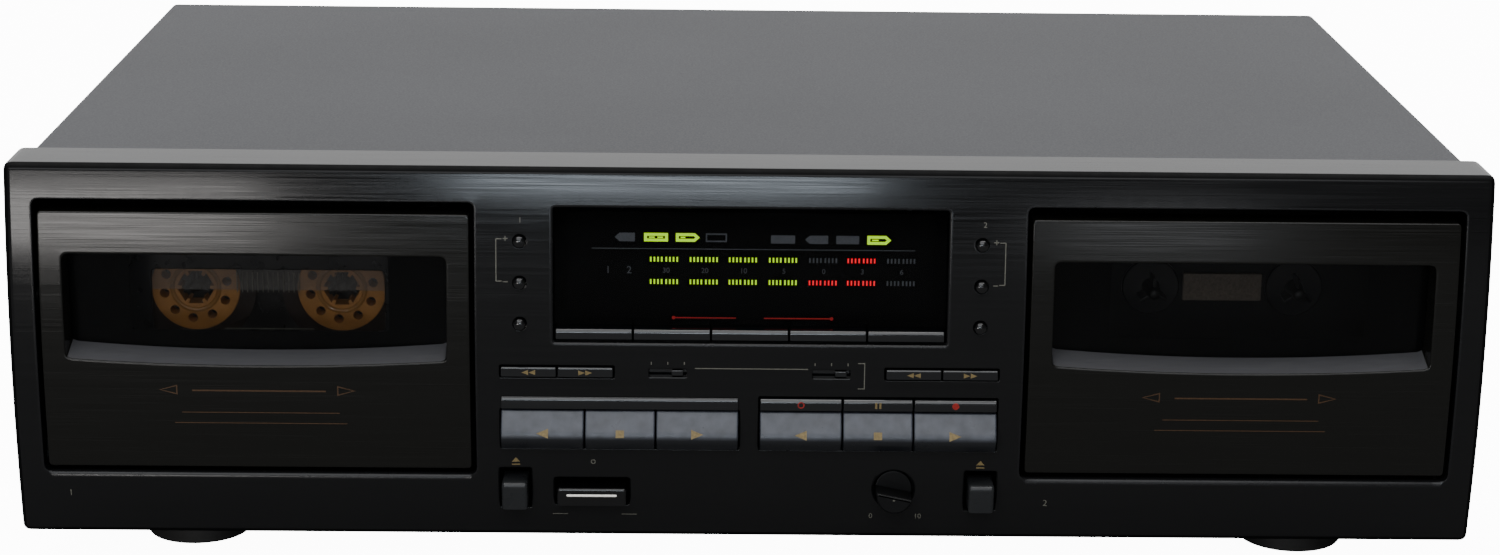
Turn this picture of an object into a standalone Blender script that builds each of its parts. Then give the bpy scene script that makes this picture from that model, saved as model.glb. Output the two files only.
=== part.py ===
"""Twin cassette deck as separate pieces, in metres, +Z up, the front facing -Y.

Every mesh is written in the deck's own frame: x from the middle, y rearward from the
plane of the front panel's top and bottom edges, z up from the front panel's bottom edge.
"""

import math

import bmesh
import bpy
from mathutils import Matrix, Vector

# Fits shared by every piece
SEAT_GAP = 0.0003
RUN_GAP = 0.0004
OVERRUN = 0.002
PIN_SIDES = 10
ROUND_SIDES = 14
FINE_SIDES = 28

# The cassette and its hubs, which set the doors' size and height
CASSETTE_WIDTH = 0.1004
CASSETTE_HEIGHT = 0.0638
CASSETTE_RISE = 0.0134
HUB_FROM_TOP = 0.0294
OPENING_LOW = 0.0194
CASSETTE_LOW = OPENING_LOW + CASSETTE_RISE
CASSETTE_TOP = CASSETTE_LOW + CASSETTE_HEIGHT
HUB_HEIGHT = CASSETTE_TOP - HUB_FROM_TOP

# Widths across the front, from the middle outward
CENTRE_WIDTH = 0.1563
OPENING_MARGIN = 0.01175
OPENING_WIDTH = CASSETTE_WIDTH + 2 * OPENING_MARGIN
SIDE_RAIL = 0.00795
CASE_STEP_IN = 0.00415
CENTRE_HALF = CENTRE_WIDTH / 2
DOOR_X = CENTRE_HALF + OPENING_WIDTH / 2
FRONT_WIDTH = 2 * (DOOR_X + OPENING_WIDTH / 2 + SIDE_RAIL)

# Front panel
OPENING_HEAD_ROOM = 0.0030
TOP_RAIL = 0.0101
OPENING_HIGH = CASSETTE_TOP + OPENING_HEAD_ROOM
FRONT_HEIGHT = OPENING_HIGH + TOP_RAIL
FRONT_DEPTH = 0.018
FACE_BULGE = 0.0033
FACE_SET = 0.0007
EDGE_RADIUS = 0.0024
SKIN = 0.0025
ARC_STEPS = 12
CORNER_STEPS = 3

# Case of folded steel sheet
CASE_WIDTH = FRONT_WIDTH - 2 * CASE_STEP_IN
CASE_HALF = CASE_WIDTH / 2
CASE_DEPTH = 0.245
COVER_STEP = 0.0004
COVER_FOLD = 0.002
COVER_SIDE_LOW = 0.003
SHEET = 0.0012
CHASSIS_FLANGE = 0.022
REAR_INSET = 0.0015

# Feet
FOOT_HEIGHT = 0.012
FOOT_RADIUS = 0.016
FOOT_TAPER = 0.0012
FOOT_SIDE_INSET = 0.04085
FOOT_FRONT_SETBACK = 0.036
FOOT_REAR_INSET = 0.030
FOOT_X = CASE_HALF - FOOT_SIDE_INSET
FOOT_REAR_SETBACK = CASE_DEPTH - FOOT_REAR_INSET

# Door openings and doors
OPENING_RADIUS = 0.002
LIP_CHAMFER_DEPTH = 0.0012
LIP_CHAMFER_HEIGHT = 0.0016
DOOR_SIDE_GAP = 0.00135
DOOR_FOOT_GAP = 0.0017
DOOR_HEAD_GAP = 0.0034
DOOR_FOOT_RISE = 0.0013
DOOR_RIM_LOW = 0.028
DOOR_RIM_BACK = 0.0062
HINGE_BACK = 0.014
HINGE_HEIGHT = 0.007

# Window recess in each door
WINDOW_SIDE = 0.00795
WINDOW_HEAD = 0.0155
WINDOW_WIDTH = OPENING_WIDTH - 2 * WINDOW_SIDE
WINDOW_HIGH = OPENING_HIGH - WINDOW_HEAD
LEDGE_FRONT_MID = 0.0520
LEDGE_FRONT_END = 0.0538
LEDGE_BACK_MID = 0.0543
LEDGE_BACK_END = 0.0566
LEDGE_STEPS = 8
WINDOW_DRAFT = 0.0012
RECESS_BACK = 0.0036
SURROUND_WALL = 0.002
LENS_THICK = 0.0014
LENS_MARGIN = 0.001

# Cassette holders
HOLDER_SHEET = 0.0015
HOLDER_MOUTH_DROP = 0.0061
HOLDER_FRAME_SIDE = 0.00445
HOLDER_MOUTH = OPENING_HIGH - HOLDER_MOUTH_DROP
HOLDER_FRAME_WIDTH = OPENING_WIDTH - 2 * HOLDER_FRAME_SIDE
CASSETTE_SLACK = 0.0007
GUIDE_LIP = 0.0045
GUIDE_LIP_LOW = 0.050
REST_DEPTH = 0.0015
REST_WIDTH = 0.012
EYE_RADIUS = 0.0032
EYE_BORE = 0.0020
ARM_BACK_HEIGHT = 0.021
ARM_BACK = 0.019

# Cassette in deck 1
CASSETTE_THICK = 0.0087
THROAT_THICK = 0.0120
THROAT_HEIGHT = 0.0145
THROAT_LOW_WIDTH = 0.068
THROAT_HIGH_WIDTH = 0.062
CASSETTE_FRONT = 0.0213
CASSETTE_WALL = 0.0011
CASSETTE_WINDOW_SIDE = 0.0112
CASSETTE_WINDOW_TALL = 0.029
CASSETTE_WINDOW_DROP = 0.0146
CASSETTE_WINDOW_WIDTH = CASSETTE_WIDTH - 2 * CASSETTE_WINDOW_SIDE
CASSETTE_WINDOW_HIGH = CASSETTE_TOP - CASSETTE_WINDOW_DROP
CASSETTE_WINDOW_LOW = CASSETTE_WINDOW_HIGH - CASSETTE_WINDOW_TALL
HUB_SPACING = 0.0425
SHELL_HUB_HOLE = 0.0056
POCKET_MARGIN = 0.0008
REEL_PACK_RADIUS = 0.0176
REEL_HUB_RADIUS = 0.0129
REEL_HUB_RAISE = 0.0006
REEL_BORE = 0.0053
REEL_TOOTH_TIP = 0.0041
REEL_TOOTH_HALF = 0.0006
REEL_TEETH = 6

# Reel spindles
SPINDLE_TABLE_RADIUS = 0.0085
SPINDLE_TABLE_THICK = 0.0015
SPINDLE_BASE_RADIUS = 0.0027
SPINDLE_TIP_RADIUS = 0.0017
SPINDLE_TIP_SETBACK = 0.0004
SPINDLE_SHAFT_RADIUS = 0.0015
SPINDLE_SHAFT_TAIL = 0.0024
FIN_REACH = 0.0046
FIN_THICK = 0.0009
FIN_ENGAGE = 0.0035
FINS = 3

# Transport plates
PLATE_FRONT = 0.034
PLATE_THICK = 0.0016
PLATE_SIDE = 0.00495
PLATE_DROP = 0.0026
PLATE_WIDTH = OPENING_WIDTH - 2 * PLATE_SIDE
PLATE_HIGH = OPENING_HIGH - PLATE_DROP
PLATE_FOOT_DEPTH = 0.018
SPINDLE_HOLE = 0.0020
CAPSTAN_HOLE = 0.0015
PIVOT_ARM_THICK = 0.0016
PIVOT_ARM_LOW = 0.0035
PIVOT_ARM_HIGH = 0.011
PIVOT_PIN_RADIUS = 0.0016
HEAD_BLOCK_WIDTH = 0.030
HEAD_BLOCK_GAP = 0.0048
HEAD_BLOCK_TALL = 0.014
HEAD_BLOCK_HIGH = CASSETTE_LOW - HEAD_BLOCK_GAP
HEAD_BLOCK_LOW = HEAD_BLOCK_HIGH - HEAD_BLOCK_TALL
HEAD_BLOCK_FRONT = 0.0235
MOTOR_RADIUS = 0.013
MOTOR_LENGTH = 0.022
MOTOR_OFFSET = 0.030
MOTOR_RISE = 0.0052
MOTOR_HEIGHT = CASSETTE_LOW + MOTOR_RISE
MIRROR_PATCH_WIDTH = 0.023
MIRROR_PATCH_HEIGHT = 0.008
MIRROR_PATCH_RAISE = 0.0015

# Capstans and flywheels
CAPSTAN_OFFSET = 0.0215
CAPSTAN_RISE = 0.0047
CAPSTAN_HEIGHT = CASSETTE_LOW + CAPSTAN_RISE
CAPSTAN_RADIUS = 0.0010
CAPSTAN_FRONT = 0.0326
FLYWHEEL_RADIUS = 0.017
FLYWHEEL_THICK = 0.004
FLYWHEEL_GAP = 0.0012
FLYWHEEL_HUB_RADIUS = 0.0032
FLYWHEEL_HUB_LENGTH = 0.0025

# Display opening, window and the board behind the front
DISPLAY_SIDE = 0.0223
DISPLAY_WIDTH = CENTRE_WIDTH - 2 * DISPLAY_SIDE
DISPLAY_LOW = 0.0597
DISPLAY_DROP = 0.0012
GLASS_RISE = 0.0051
DISPLAY_HIGH = OPENING_HIGH - DISPLAY_DROP
GLASS_LOW = DISPLAY_LOW + GLASS_RISE
GLASS_SETBACK = 0.0010
GLASS_THICK = 0.0016
GLASS_GAP = 0.0004
BOARD_FRONT = 0.012
BOARD_THICK = 0.0016
BOARD_SIDE_INSET = 0.00415
BOARD_WIDTH = CENTRE_WIDTH - 2 * BOARD_SIDE_INSET
BOARD_RISE = 0.0044
BOARD_TOP = OPENING_HIGH + BOARD_RISE
TUBE_SIDE_INSET = 0.00385
TUBE_WIDTH = DISPLAY_WIDTH - 2 * TUBE_SIDE_INSET
TUBE_DROP = 0.0019
TUBE_RISE = 0.0022
TUBE_HIGH = DISPLAY_HIGH - TUBE_DROP
TUBE_LOW = GLASS_LOW + TUBE_RISE
TUBE_FRONT = 0.0017

# Keys and buttons shared sizes
KEY_SIDE_MARGIN = 0.00735
KEYS_OUTER = CENTRE_HALF - KEY_SIDE_MARGIN
FLANGE_THICK = 0.0012
FLANGE_REACH = 0.0011
STEM_GAP = 0.0005
STEM_SHARE = 0.45

# Function keys
FUNCTION_KEYS = 5
FUNCTION_RISE = 0.0008
FUNCTION_TALL = 0.0031
FUNCTION_LOW = DISPLAY_LOW + FUNCTION_RISE
FUNCTION_HIGH = FUNCTION_LOW + FUNCTION_TALL
FUNCTION_PROUD = -0.0003
FUNCTION_TRAVEL = 0.0010

# Rewind and forward keys
WIND_WIDTH = 0.0319
WIND_OUTER = KEYS_OUTER
WIND_INNER = WIND_OUTER - WIND_WIDTH
WIND_LOW = 0.0496
WIND_HIGH = 0.0525
WIND_PROUD = 0.0009
WIND_TRAVEL = 0.0010

# Transport keys
BANK_INNER = 0.0031
BANK_OUTER = KEYS_OUTER
BANK_SPLITS = (0.0267, 0.0470)
BANK_LOW = 0.0277
BANK_HIGH = 0.0440
STRIP_HIGH = 0.0436
STRIP_LOW = 0.0400
STRIP_PROUD = 0.0010
TRANSPORT_TOP = 0.0394
TRANSPORT_TOP_PROUD = 0.0005
TRANSPORT_NOSE = 0.0306
TRANSPORT_NOSE_PROUD = 0.0044
TRANSPORT_CHIN = 0.0282
TRANSPORT_CHIN_PROUD = 0.0020
TRANSPORT_TRAVEL = 0.0015

# Eject buttons
EJECT_INSET = 0.01115
EJECT_X = CENTRE_HALF - EJECT_INSET
EJECT_SLOT_WIDTH = 0.0091
EJECT_SLOT_LOW = 0.0092
EJECT_SLOT_HIGH = 0.0214
EJECT_WIDTH = 0.0075
EJECT_LOW = 0.0101
EJECT_HIGH = 0.0186
EJECT_PROUD = 0.0055
EJECT_ROUND = 0.0018
EJECT_TRAVEL = 0.0030

# Power button
POWER_INSET = 0.03315
POWER_X = CENTRE_HALF - POWER_INSET
POWER_SLOT_WIDTH = 0.0216
POWER_SLOT_LOW = 0.0102
POWER_SLOT_HIGH = 0.0185
POWER_WIDTH = 0.0201
POWER_LOW = 0.0107
POWER_HIGH = 0.0163
POWER_PROUD = 0.0036
POWER_ROUND = 0.0010
POWER_TRAVEL = 0.0025

# Record level knob
KNOB_INSET = 0.03615
KNOB_X = CENTRE_HALF - KNOB_INSET
KNOB_HEIGHT = 0.0155
KNOB_RECESS_RADIUS = 0.0059
KNOB_RADIUS = 0.0054
KNOB_BACK_PROUD = -0.0010
KNOB_GRIP_PROUD = 0.0065
KNOB_GRIP_TILT = math.radians(12)
KNOB_FLANGE_RADIUS = 0.0072
KNOB_SHAFT_RADIUS = 0.0030

# Slide switches
SWITCH_INSET = 0.0156
SWITCH_X = WIND_INNER - SWITCH_INSET
SWITCH_SLOT_WIDTH = 0.0108
SWITCH_LOW = 0.0496
SWITCH_HIGH = 0.0521
SWITCH_KNOB_WIDTH = 0.0034
SWITCH_KNOB_HEIGHT = 0.0017
SWITCH_PROUD = 0.0008
SWITCH_REST = 0.0027
SWITCH_PLATE_WIDTH = 0.0175
SWITCH_PLATE_HEIGHT = 0.0044

# Small round buttons
PIN_INSET = 0.01285
PIN_X = CENTRE_HALF - PIN_INSET
PIN_DROP = 0.0107
PIN_RISE = 0.0054
PIN_TOP = OPENING_HIGH - PIN_DROP
PIN_LOW = DISPLAY_LOW + PIN_RISE
PIN_HEIGHTS = (PIN_TOP, (PIN_TOP + PIN_LOW) / 2, PIN_LOW)
PIN_RADIUS = 0.0017
PIN_PROUD = 0.0020
PIN_DOME = 0.0008
PIN_FLANGE = 0.0026
PIN_TRAVEL = 0.0008

# Rear panel, jacks and inlet
REAR_TOP_GAP = 0.0004
JACK_INSET = 0.05585
JACK_PAIR = 0.019
JACK_PAIRS = 0.047
JACKS_X = [
    JACK_INSET - CASE_HALF + step
    for step in (0, JACK_PAIR, JACK_PAIRS, JACK_PAIRS + JACK_PAIR)
]
JACK_HEIGHT = 0.030
JACK_COLLAR_RADIUS = 0.0062
JACK_COLLAR = 0.0015
JACK_RADIUS = 0.0042
JACK_REACH = 0.0075
JACK_BLOCK_DEPTH = 0.012
JACK_BLOCK_HEIGHT = 0.020
JACK_BLOCK_MARGIN = 0.010
INLET_INSET = 0.05585
INLET_X = CASE_HALF - INLET_INSET
INLET_HEIGHT = 0.030
INLET_WIDTH = 0.026
INLET_TALL = 0.017
INLET_FLANGE = 0.0030
INLET_FLANGE_THICK = 0.0018
INLET_BODY_DEPTH = 0.014
INLET_SOCKET_WIDTH = 0.015
INLET_SOCKET_TALL = 0.0085
INLET_SOCKET_DEPTH = 0.011

# Main board and transformer
MAIN_BOARD_LOW = 0.0085
MAIN_BOARD_INSET = 0.05085
MAIN_BOARD_LENGTH = 0.230
MAIN_BOARD_DEPTH = 0.146
MAIN_BOARD_REAR_GAP = 0.021
MAIN_BOARD_LEFT = MAIN_BOARD_INSET - CASE_HALF
MAIN_BOARD_RIGHT = MAIN_BOARD_LEFT + MAIN_BOARD_LENGTH
MAIN_BOARD_BACK = CASE_DEPTH - MAIN_BOARD_REAR_GAP
MAIN_BOARD_FRONT = MAIN_BOARD_BACK - MAIN_BOARD_DEPTH
POST_RADIUS = 0.003
POST_INSET = 0.010
HEAT_SINK_INSET = 0.025
HEAT_SINK_X = MAIN_BOARD_RIGHT - HEAT_SINK_INSET
HEAT_SINK_SIZE = (0.030, 0.012, 0.038)
CAPACITOR_RADIUS = 0.0065
CAPACITOR_HEIGHT = 0.022
CAPACITOR_PITCH = 0.018
CAPACITORS = 3
TRANSFORMER_INSET = 0.08085
TRANSFORMER_REAR_GAP = 0.040
TRANSFORMER_X = CASE_HALF - TRANSFORMER_INSET
TRANSFORMER_BACK = CASE_DEPTH - TRANSFORMER_REAR_GAP
TRANSFORMER_WIDTH = 0.058
TRANSFORMER_DEPTH = 0.034
TRANSFORMER_HEIGHT = 0.048
COIL_WIDTH = 0.036
COIL_PROUD = 0.009
COIL_HEIGHT = 0.032
LUG_WIDTH = 0.012
LUG_THICK = 0.0016

DECKS = {"1": -1, "2": 1}


def face_line(height):
    """The front surface's y at a height: a shallow arc, set off the edge plane."""
    share = height / (FRONT_HEIGHT / 2) - 1
    return -FACE_SET - FACE_BULGE * (1 - share**2)


def steps_between(low, high, count):
    """Evenly spaced values from low to high, both included."""
    return [low + (high - low) * i / count for i in range(count + 1)]


def arc(centre, radius, start, end, count):
    """Points on a circle between two angles, both ends included."""
    return [
        (centre[0] + radius * math.cos(a), centre[1] + radius * math.sin(a))
        for a in steps_between(start, end, count)
    ]


KNOB_REACH = KNOB_GRIP_PROUD - face_line(KNOB_HEIGHT)
EDGE_PLANE_Y = (KNOB_REACH - CASE_DEPTH - JACK_REACH) / 2

# Materials


def finish(name, colour, roughness, metallic=0.0):
    """One Principled material for a piece's own finish."""
    material = bpy.data.materials.new(name)
    material.use_nodes = True
    shader = material.node_tree.nodes["Principled BSDF"]
    shader.inputs["Base Color"].default_value = (*colour, 1)
    shader.inputs["Roughness"].default_value = roughness
    shader.inputs["Metallic"].default_value = metallic
    return material


# Mesh helpers


def place(name, mesh, material, round_faces=False):
    """Puts a mesh into the deck's frame as one named object."""
    piece = bpy.data.objects.new(name, mesh)
    bpy.context.scene.collection.objects.link(piece)
    mesh.materials.clear()
    mesh.materials.append(material)
    if round_faces:
        mesh.shade_smooth()
        mesh.set_sharp_from_angle(angle=math.radians(35))
    piece.parent = DECK_FRAME
    return piece


def closed_mesh(name, rings, loop=False):
    """Joins rings of points into one closed mesh, with flat ends unless it loops."""
    shape = bmesh.new()
    rows = [[shape.verts.new(point) for point in ring] for ring in rings]
    pairs = list(zip(rows, rows[1:]))
    if loop:
        pairs.append((rows[-1], rows[0]))
    for near, far in pairs:
        for i in range(len(near)):
            k = (i + 1) % len(near)
            shape.faces.new((near[i], near[k], far[k], far[i]))
    if not loop:
        shape.faces.new(rows[0])
        shape.faces.new(rows[-1][::-1])
    bmesh.ops.recalc_face_normals(shape, faces=shape.faces)
    mesh = bpy.data.meshes.new(name)
    shape.to_mesh(mesh)
    shape.free()
    return mesh


def side_prism(name, outline, left, right):
    """A side-view outline of (y, z) points carried from left to right."""
    return closed_mesh(name, [[(x, y, z) for y, z in outline] for x in (left, right)])


def front_prism(name, outline, front, back):
    """A front-view outline of (x, z) points carried from front to back."""
    return closed_mesh(name, [[(x, y, z) for x, z in outline] for y in (front, back)])


def block(name, low, high):
    """A rectangular block between two corners."""
    outline = [(low[1], low[2]), (high[1], low[2]), (high[1], high[2]), (low[1], high[2])]
    return side_prism(name, outline, low[0], high[0])


def turned(name, profile, centre, sides, along="Y"):
    """A turned solid: (radius, distance) pairs about an axis through centre."""
    rings = []
    for radius, distance in profile:
        ring = []
        for i in range(sides):
            angle = math.tau * (i + 0.5) / sides
            across, up = radius * math.cos(angle), radius * math.sin(angle)
            if along == "Y":
                ring.append((centre[0] + across, distance, centre[1] + up))
            elif along == "X":
                ring.append((distance, centre[0] + across, centre[1] + up))
            else:
                ring.append((centre[0] + across, centre[1] + up, distance))
        rings.append(ring)
    return closed_mesh(name, rings)


def rounded_box_outline(low, high, radius):
    """A rectangle in front view with rounded corners, as (x, z) points."""
    corners = (
        (high[0] - radius, high[1] - radius, 0),
        (low[0] + radius, high[1] - radius, 90),
        (low[0] + radius, low[1] + radius, 180),
        (high[0] - radius, low[1] + radius, 270),
    )
    points = []
    for x, z, turn in corners:
        start = math.radians(turn)
        points += arc((x, z), radius, start, start + math.pi / 2, CORNER_STEPS)
    return points


def combined(mesh, tools, operation):
    """Joins tool meshes to a mesh, or cuts them from it, one Boolean each."""
    piece = bpy.data.objects.new(mesh.name, mesh)
    bpy.context.scene.collection.objects.link(piece)
    helpers = []
    for tool in tools:
        helper = bpy.data.objects.new("cutter", tool)
        helper.hide_render = True
        helper.display_type = "WIRE"
        bpy.context.scene.collection.objects.link(helper)
        helpers.append(helper)
        step = piece.modifiers.new(operation.lower(), "BOOLEAN")
        step.operation = operation
        step.solver = "EXACT"
        step.object = helper
    bpy.context.view_layer.update()
    depsgraph = bpy.context.evaluated_depsgraph_get()
    result = bpy.data.meshes.new_from_object(piece.evaluated_get(depsgraph))
    result.name = mesh.name
    for helper in [*helpers, piece]:
        bpy.data.objects.remove(helper)
    return result


def joined(mesh, *tools):
    """The mesh with the tools united to it."""
    return combined(mesh, tools, "UNION")


def cut(mesh, *tools):
    """The mesh with the tools taken out of it."""
    return combined(mesh, tools, "DIFFERENCE")


def grouped(name, meshes):
    """Several separate cutters as one mesh, for a single Boolean."""
    shape = bmesh.new()
    for mesh in meshes:
        shape.from_mesh(mesh)
    result = bpy.data.meshes.new(name)
    shape.to_mesh(result)
    shape.free()
    return result


def turned_about_y(mesh, centre, angle):
    """Turns a mesh about a front-to-back axis through (x, z)."""
    pivot = Vector((centre[0], 0, centre[1]))
    spin = Matrix.Translation(pivot) @ Matrix.Rotation(angle, 4, "Y")
    mesh.transform(spin @ Matrix.Translation(-pivot))
    return mesh


def pivot(piece, point):
    """Moves a piece's origin to a point on its joint's axis, its shape left in place."""
    piece.data.transform(Matrix.Translation(-Vector(point)))
    piece.location = point
    return piece


def carried(piece, holder, point):
    """Hangs a piece from an empty that stands at a point on the axis."""
    piece.data.transform(Matrix.Translation(-Vector(point)))
    piece.parent = holder
    return piece


def empty(name, point):
    """A marker on a joint's axis."""
    marker = bpy.data.objects.new(name, None)
    bpy.context.scene.collection.objects.link(marker)
    marker.location = point
    return marker


# Front panel


def face_outline(low, high, setback, back):
    """Side view of a slab: its front follows the face, set back by an amount."""
    front = [(face_line(z) + setback, z) for z in steps_between(low, high, ARC_STEPS)]
    return [(back, low), *front, (back, high)]


def panel_outline():
    """Side view of the front panel, with its rounded top and bottom edges."""
    low, high = EDGE_RADIUS, FRONT_HEIGHT - EDGE_RADIUS
    face = [(face_line(z), z) for z in steps_between(low, high, ARC_STEPS)]
    lower = arc((face[0][0] + EDGE_RADIUS, low), EDGE_RADIUS, -math.pi / 2, -math.pi, CORNER_STEPS)
    upper = arc((face[-1][0] + EDGE_RADIUS, high), EDGE_RADIUS, math.pi, math.pi / 2, CORNER_STEPS)
    return [(FRONT_DEPTH, 0), *lower[:-1], *face, *upper[1:], (FRONT_DEPTH, FRONT_HEIGHT)]


def slot(low, high, radius=None):
    """A cutter right through the panel's skin."""
    front, back = face_line(FRONT_HEIGHT / 2) - OVERRUN, SKIN + OVERRUN
    if radius:
        return front_prism("slot", rounded_box_outline(low, high, radius), front, back)
    return block("slot", (low[0], front, low[1]), (high[0], back, high[1]))


def round_hole(x, z, radius, sides):
    """A round cutter right through the panel's skin."""
    front, back = face_line(FRONT_HEIGHT / 2) - OVERRUN, SKIN + OVERRUN
    return turned("hole", [(radius, front), (radius, back)], (x, z), sides)


def lip_cutter(centre):
    """Takes the front corner off the lower lip of a door opening."""
    face = face_line(OPENING_LOW)
    outline = [
        (face - OVERRUN, OPENING_LOW - LIP_CHAMFER_HEIGHT),
        (face, OPENING_LOW - LIP_CHAMFER_HEIGHT),
        (face + LIP_CHAMFER_DEPTH, OPENING_LOW),
        (face + LIP_CHAMFER_DEPTH, OPENING_LOW + OVERRUN),
        (face - OVERRUN, OPENING_LOW + OVERRUN),
    ]
    half = OPENING_WIDTH / 2 - OPENING_RADIUS
    return side_prism("lip", outline, centre - half, centre + half)


def make_front_panel(material):
    """The bezel: a hollow moulding with every opening, and the fixed key trim bar."""
    half = FRONT_WIDTH / 2
    shell = side_prism("front_panel", panel_outline(), -half, half)
    cavity = side_prism(
        "cavity",
        face_outline(SKIN, FRONT_HEIGHT - SKIN, SKIN, FRONT_DEPTH + OVERRUN),
        SHEET - CASE_HALF,
        CASE_HALF - SHEET,
    )
    trim_back = face_line(STRIP_LOW) + SKIN / 2
    trim = side_prism(
        "trim",
        [
            (trim_back, STRIP_LOW),
            (face_line(STRIP_LOW) - STRIP_PROUD, STRIP_LOW),
            (face_line(STRIP_HIGH) - STRIP_PROUD, STRIP_HIGH),
            (trim_back, STRIP_HIGH),
        ],
        -BANK_OUTER,
        -BANK_INNER,
    )
    openings = []
    for side in DECKS.values():
        centre = side * DOOR_X
        left, right = centre - OPENING_WIDTH / 2, centre + OPENING_WIDTH / 2
        openings.append(slot((left, OPENING_LOW), (right, OPENING_HIGH), OPENING_RADIUS))
        wind = sorted((side * WIND_INNER, side * WIND_OUTER))
        openings.append(
            slot((wind[0] - RUN_GAP, WIND_LOW - RUN_GAP), (wind[1] + RUN_GAP, WIND_HIGH + RUN_GAP))
        )
        half_slot = SWITCH_SLOT_WIDTH / 2
        openings.append(
            slot((side * SWITCH_X - half_slot, SWITCH_LOW), (side * SWITCH_X + half_slot, SWITCH_HIGH))
        )
        half_eject = EJECT_SLOT_WIDTH / 2
        openings.append(
            slot(
                (side * EJECT_X - half_eject, EJECT_SLOT_LOW),
                (side * EJECT_X + half_eject, EJECT_SLOT_HIGH),
            )
        )
        for height in PIN_HEIGHTS:
            openings.append(round_hole(side * PIN_X, height, PIN_RADIUS + RUN_GAP, PIN_SIDES))
    half_glass = DISPLAY_WIDTH / 2
    openings.append(slot((-half_glass, DISPLAY_LOW), (half_glass, DISPLAY_HIGH)))
    bank_left, bank_right = BANK_INNER - RUN_GAP, BANK_OUTER + RUN_GAP
    openings.append(slot((-bank_right, BANK_LOW), (-bank_left, TRANSPORT_TOP + RUN_GAP)))
    openings.append(slot((bank_left, BANK_LOW), (bank_right, BANK_HIGH)))
    half_power = POWER_SLOT_WIDTH / 2
    openings.append(
        slot((-POWER_X - half_power, POWER_SLOT_LOW), (-POWER_X + half_power, POWER_SLOT_HIGH))
    )
    openings.append(round_hole(KNOB_X, KNOB_HEIGHT, KNOB_RECESS_RADIUS, FINE_SIDES))
    lips = [lip_cutter(side * DOOR_X) for side in DECKS.values()]
    shell = cut(shell, cavity)
    shell = joined(shell, trim)
    shell = cut(shell, grouped("openings", openings))
    shell = cut(shell, grouped("lips", lips))
    place("front_panel", shell, material)


# Case


def make_top_cover(material):
    """A folded sheet over the top and both sides."""
    half, top = CASE_HALF, FRONT_HEIGHT - COVER_STEP
    outer = rounded_box_outline((-half, COVER_SIDE_LOW), (half, top), COVER_FOLD)
    upper = outer[: 2 * (CORNER_STEPS + 1)]
    fold = COVER_FOLD - SHEET
    inner = rounded_box_outline(
        (SHEET - half, COVER_SIDE_LOW), (half - SHEET, top - SHEET), fold
    )[: 2 * (CORNER_STEPS + 1)]
    outline = [
        (half, COVER_SIDE_LOW),
        *upper,
        (-half, COVER_SIDE_LOW),
        (SHEET - half, COVER_SIDE_LOW),
        *inner[::-1],
        (half - SHEET, COVER_SIDE_LOW),
    ]
    mesh = front_prism("top_cover", outline, FRONT_DEPTH + SEAT_GAP, CASE_DEPTH)
    place("top_cover", mesh, material)


CHASSIS_HALF = CASE_HALF - SHEET - SEAT_GAP
CHASSIS_TOP = SEAT_GAP + SHEET
REAR_FACE = CASE_DEPTH - REAR_INSET


def make_chassis_base(material):
    """A shallow tray of folded sheet that everything stands on."""
    outline = [
        (-CHASSIS_HALF, SEAT_GAP),
        (CHASSIS_HALF, SEAT_GAP),
        (CHASSIS_HALF, CHASSIS_FLANGE),
        (CHASSIS_HALF - SHEET, CHASSIS_FLANGE),
        (CHASSIS_HALF - SHEET, CHASSIS_TOP),
        (SHEET - CHASSIS_HALF, CHASSIS_TOP),
        (SHEET - CHASSIS_HALF, CHASSIS_FLANGE),
        (-CHASSIS_HALF, CHASSIS_FLANGE),
    ]
    front = FRONT_DEPTH + SEAT_GAP
    mesh = front_prism("chassis_base", outline, front, REAR_FACE - SHEET - SEAT_GAP)
    place("chassis_base", mesh, material)


def make_rear_panel(material):
    """The back plate with its four signal jacks and the hole for the mains inlet."""
    base = CHASSIS_TOP + SEAT_GAP
    top = FRONT_HEIGHT - COVER_STEP - SHEET - REAR_TOP_GAP
    plate = block(
        "rear_panel",
        (-CHASSIS_HALF, REAR_FACE - SHEET, base),
        (CHASSIS_HALF, REAR_FACE, top),
    )
    left, right = JACKS_X[0] - JACK_BLOCK_MARGIN, JACKS_X[-1] + JACK_BLOCK_MARGIN
    housing = block(
        "jack_block",
        (left, REAR_FACE - JACK_BLOCK_DEPTH, JACK_HEIGHT - JACK_BLOCK_HEIGHT / 2),
        (right, REAR_FACE - SHEET / 2, JACK_HEIGHT + JACK_BLOCK_HEIGHT / 2),
    )
    jacks = [
        turned(
            "jack",
            [
                (JACK_COLLAR_RADIUS, REAR_FACE - SHEET / 2),
                (JACK_COLLAR_RADIUS, REAR_FACE + JACK_COLLAR),
                (JACK_RADIUS, REAR_FACE + JACK_COLLAR),
                (JACK_RADIUS, CASE_DEPTH + JACK_REACH),
            ],
            (x, JACK_HEIGHT),
            ROUND_SIDES,
        )
        for x in JACKS_X
    ]
    half_width = INLET_WIDTH / 2 + SEAT_GAP
    half_tall = INLET_TALL / 2 + SEAT_GAP
    hole = block(
        "inlet_hole",
        (INLET_X - half_width, REAR_FACE - SHEET - OVERRUN, INLET_HEIGHT - half_tall),
        (INLET_X + half_width, REAR_FACE + OVERRUN, INLET_HEIGHT + half_tall),
    )
    mesh = joined(cut(plate, hole), housing, grouped("jacks", jacks))
    place("rear_panel", mesh, material)


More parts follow.
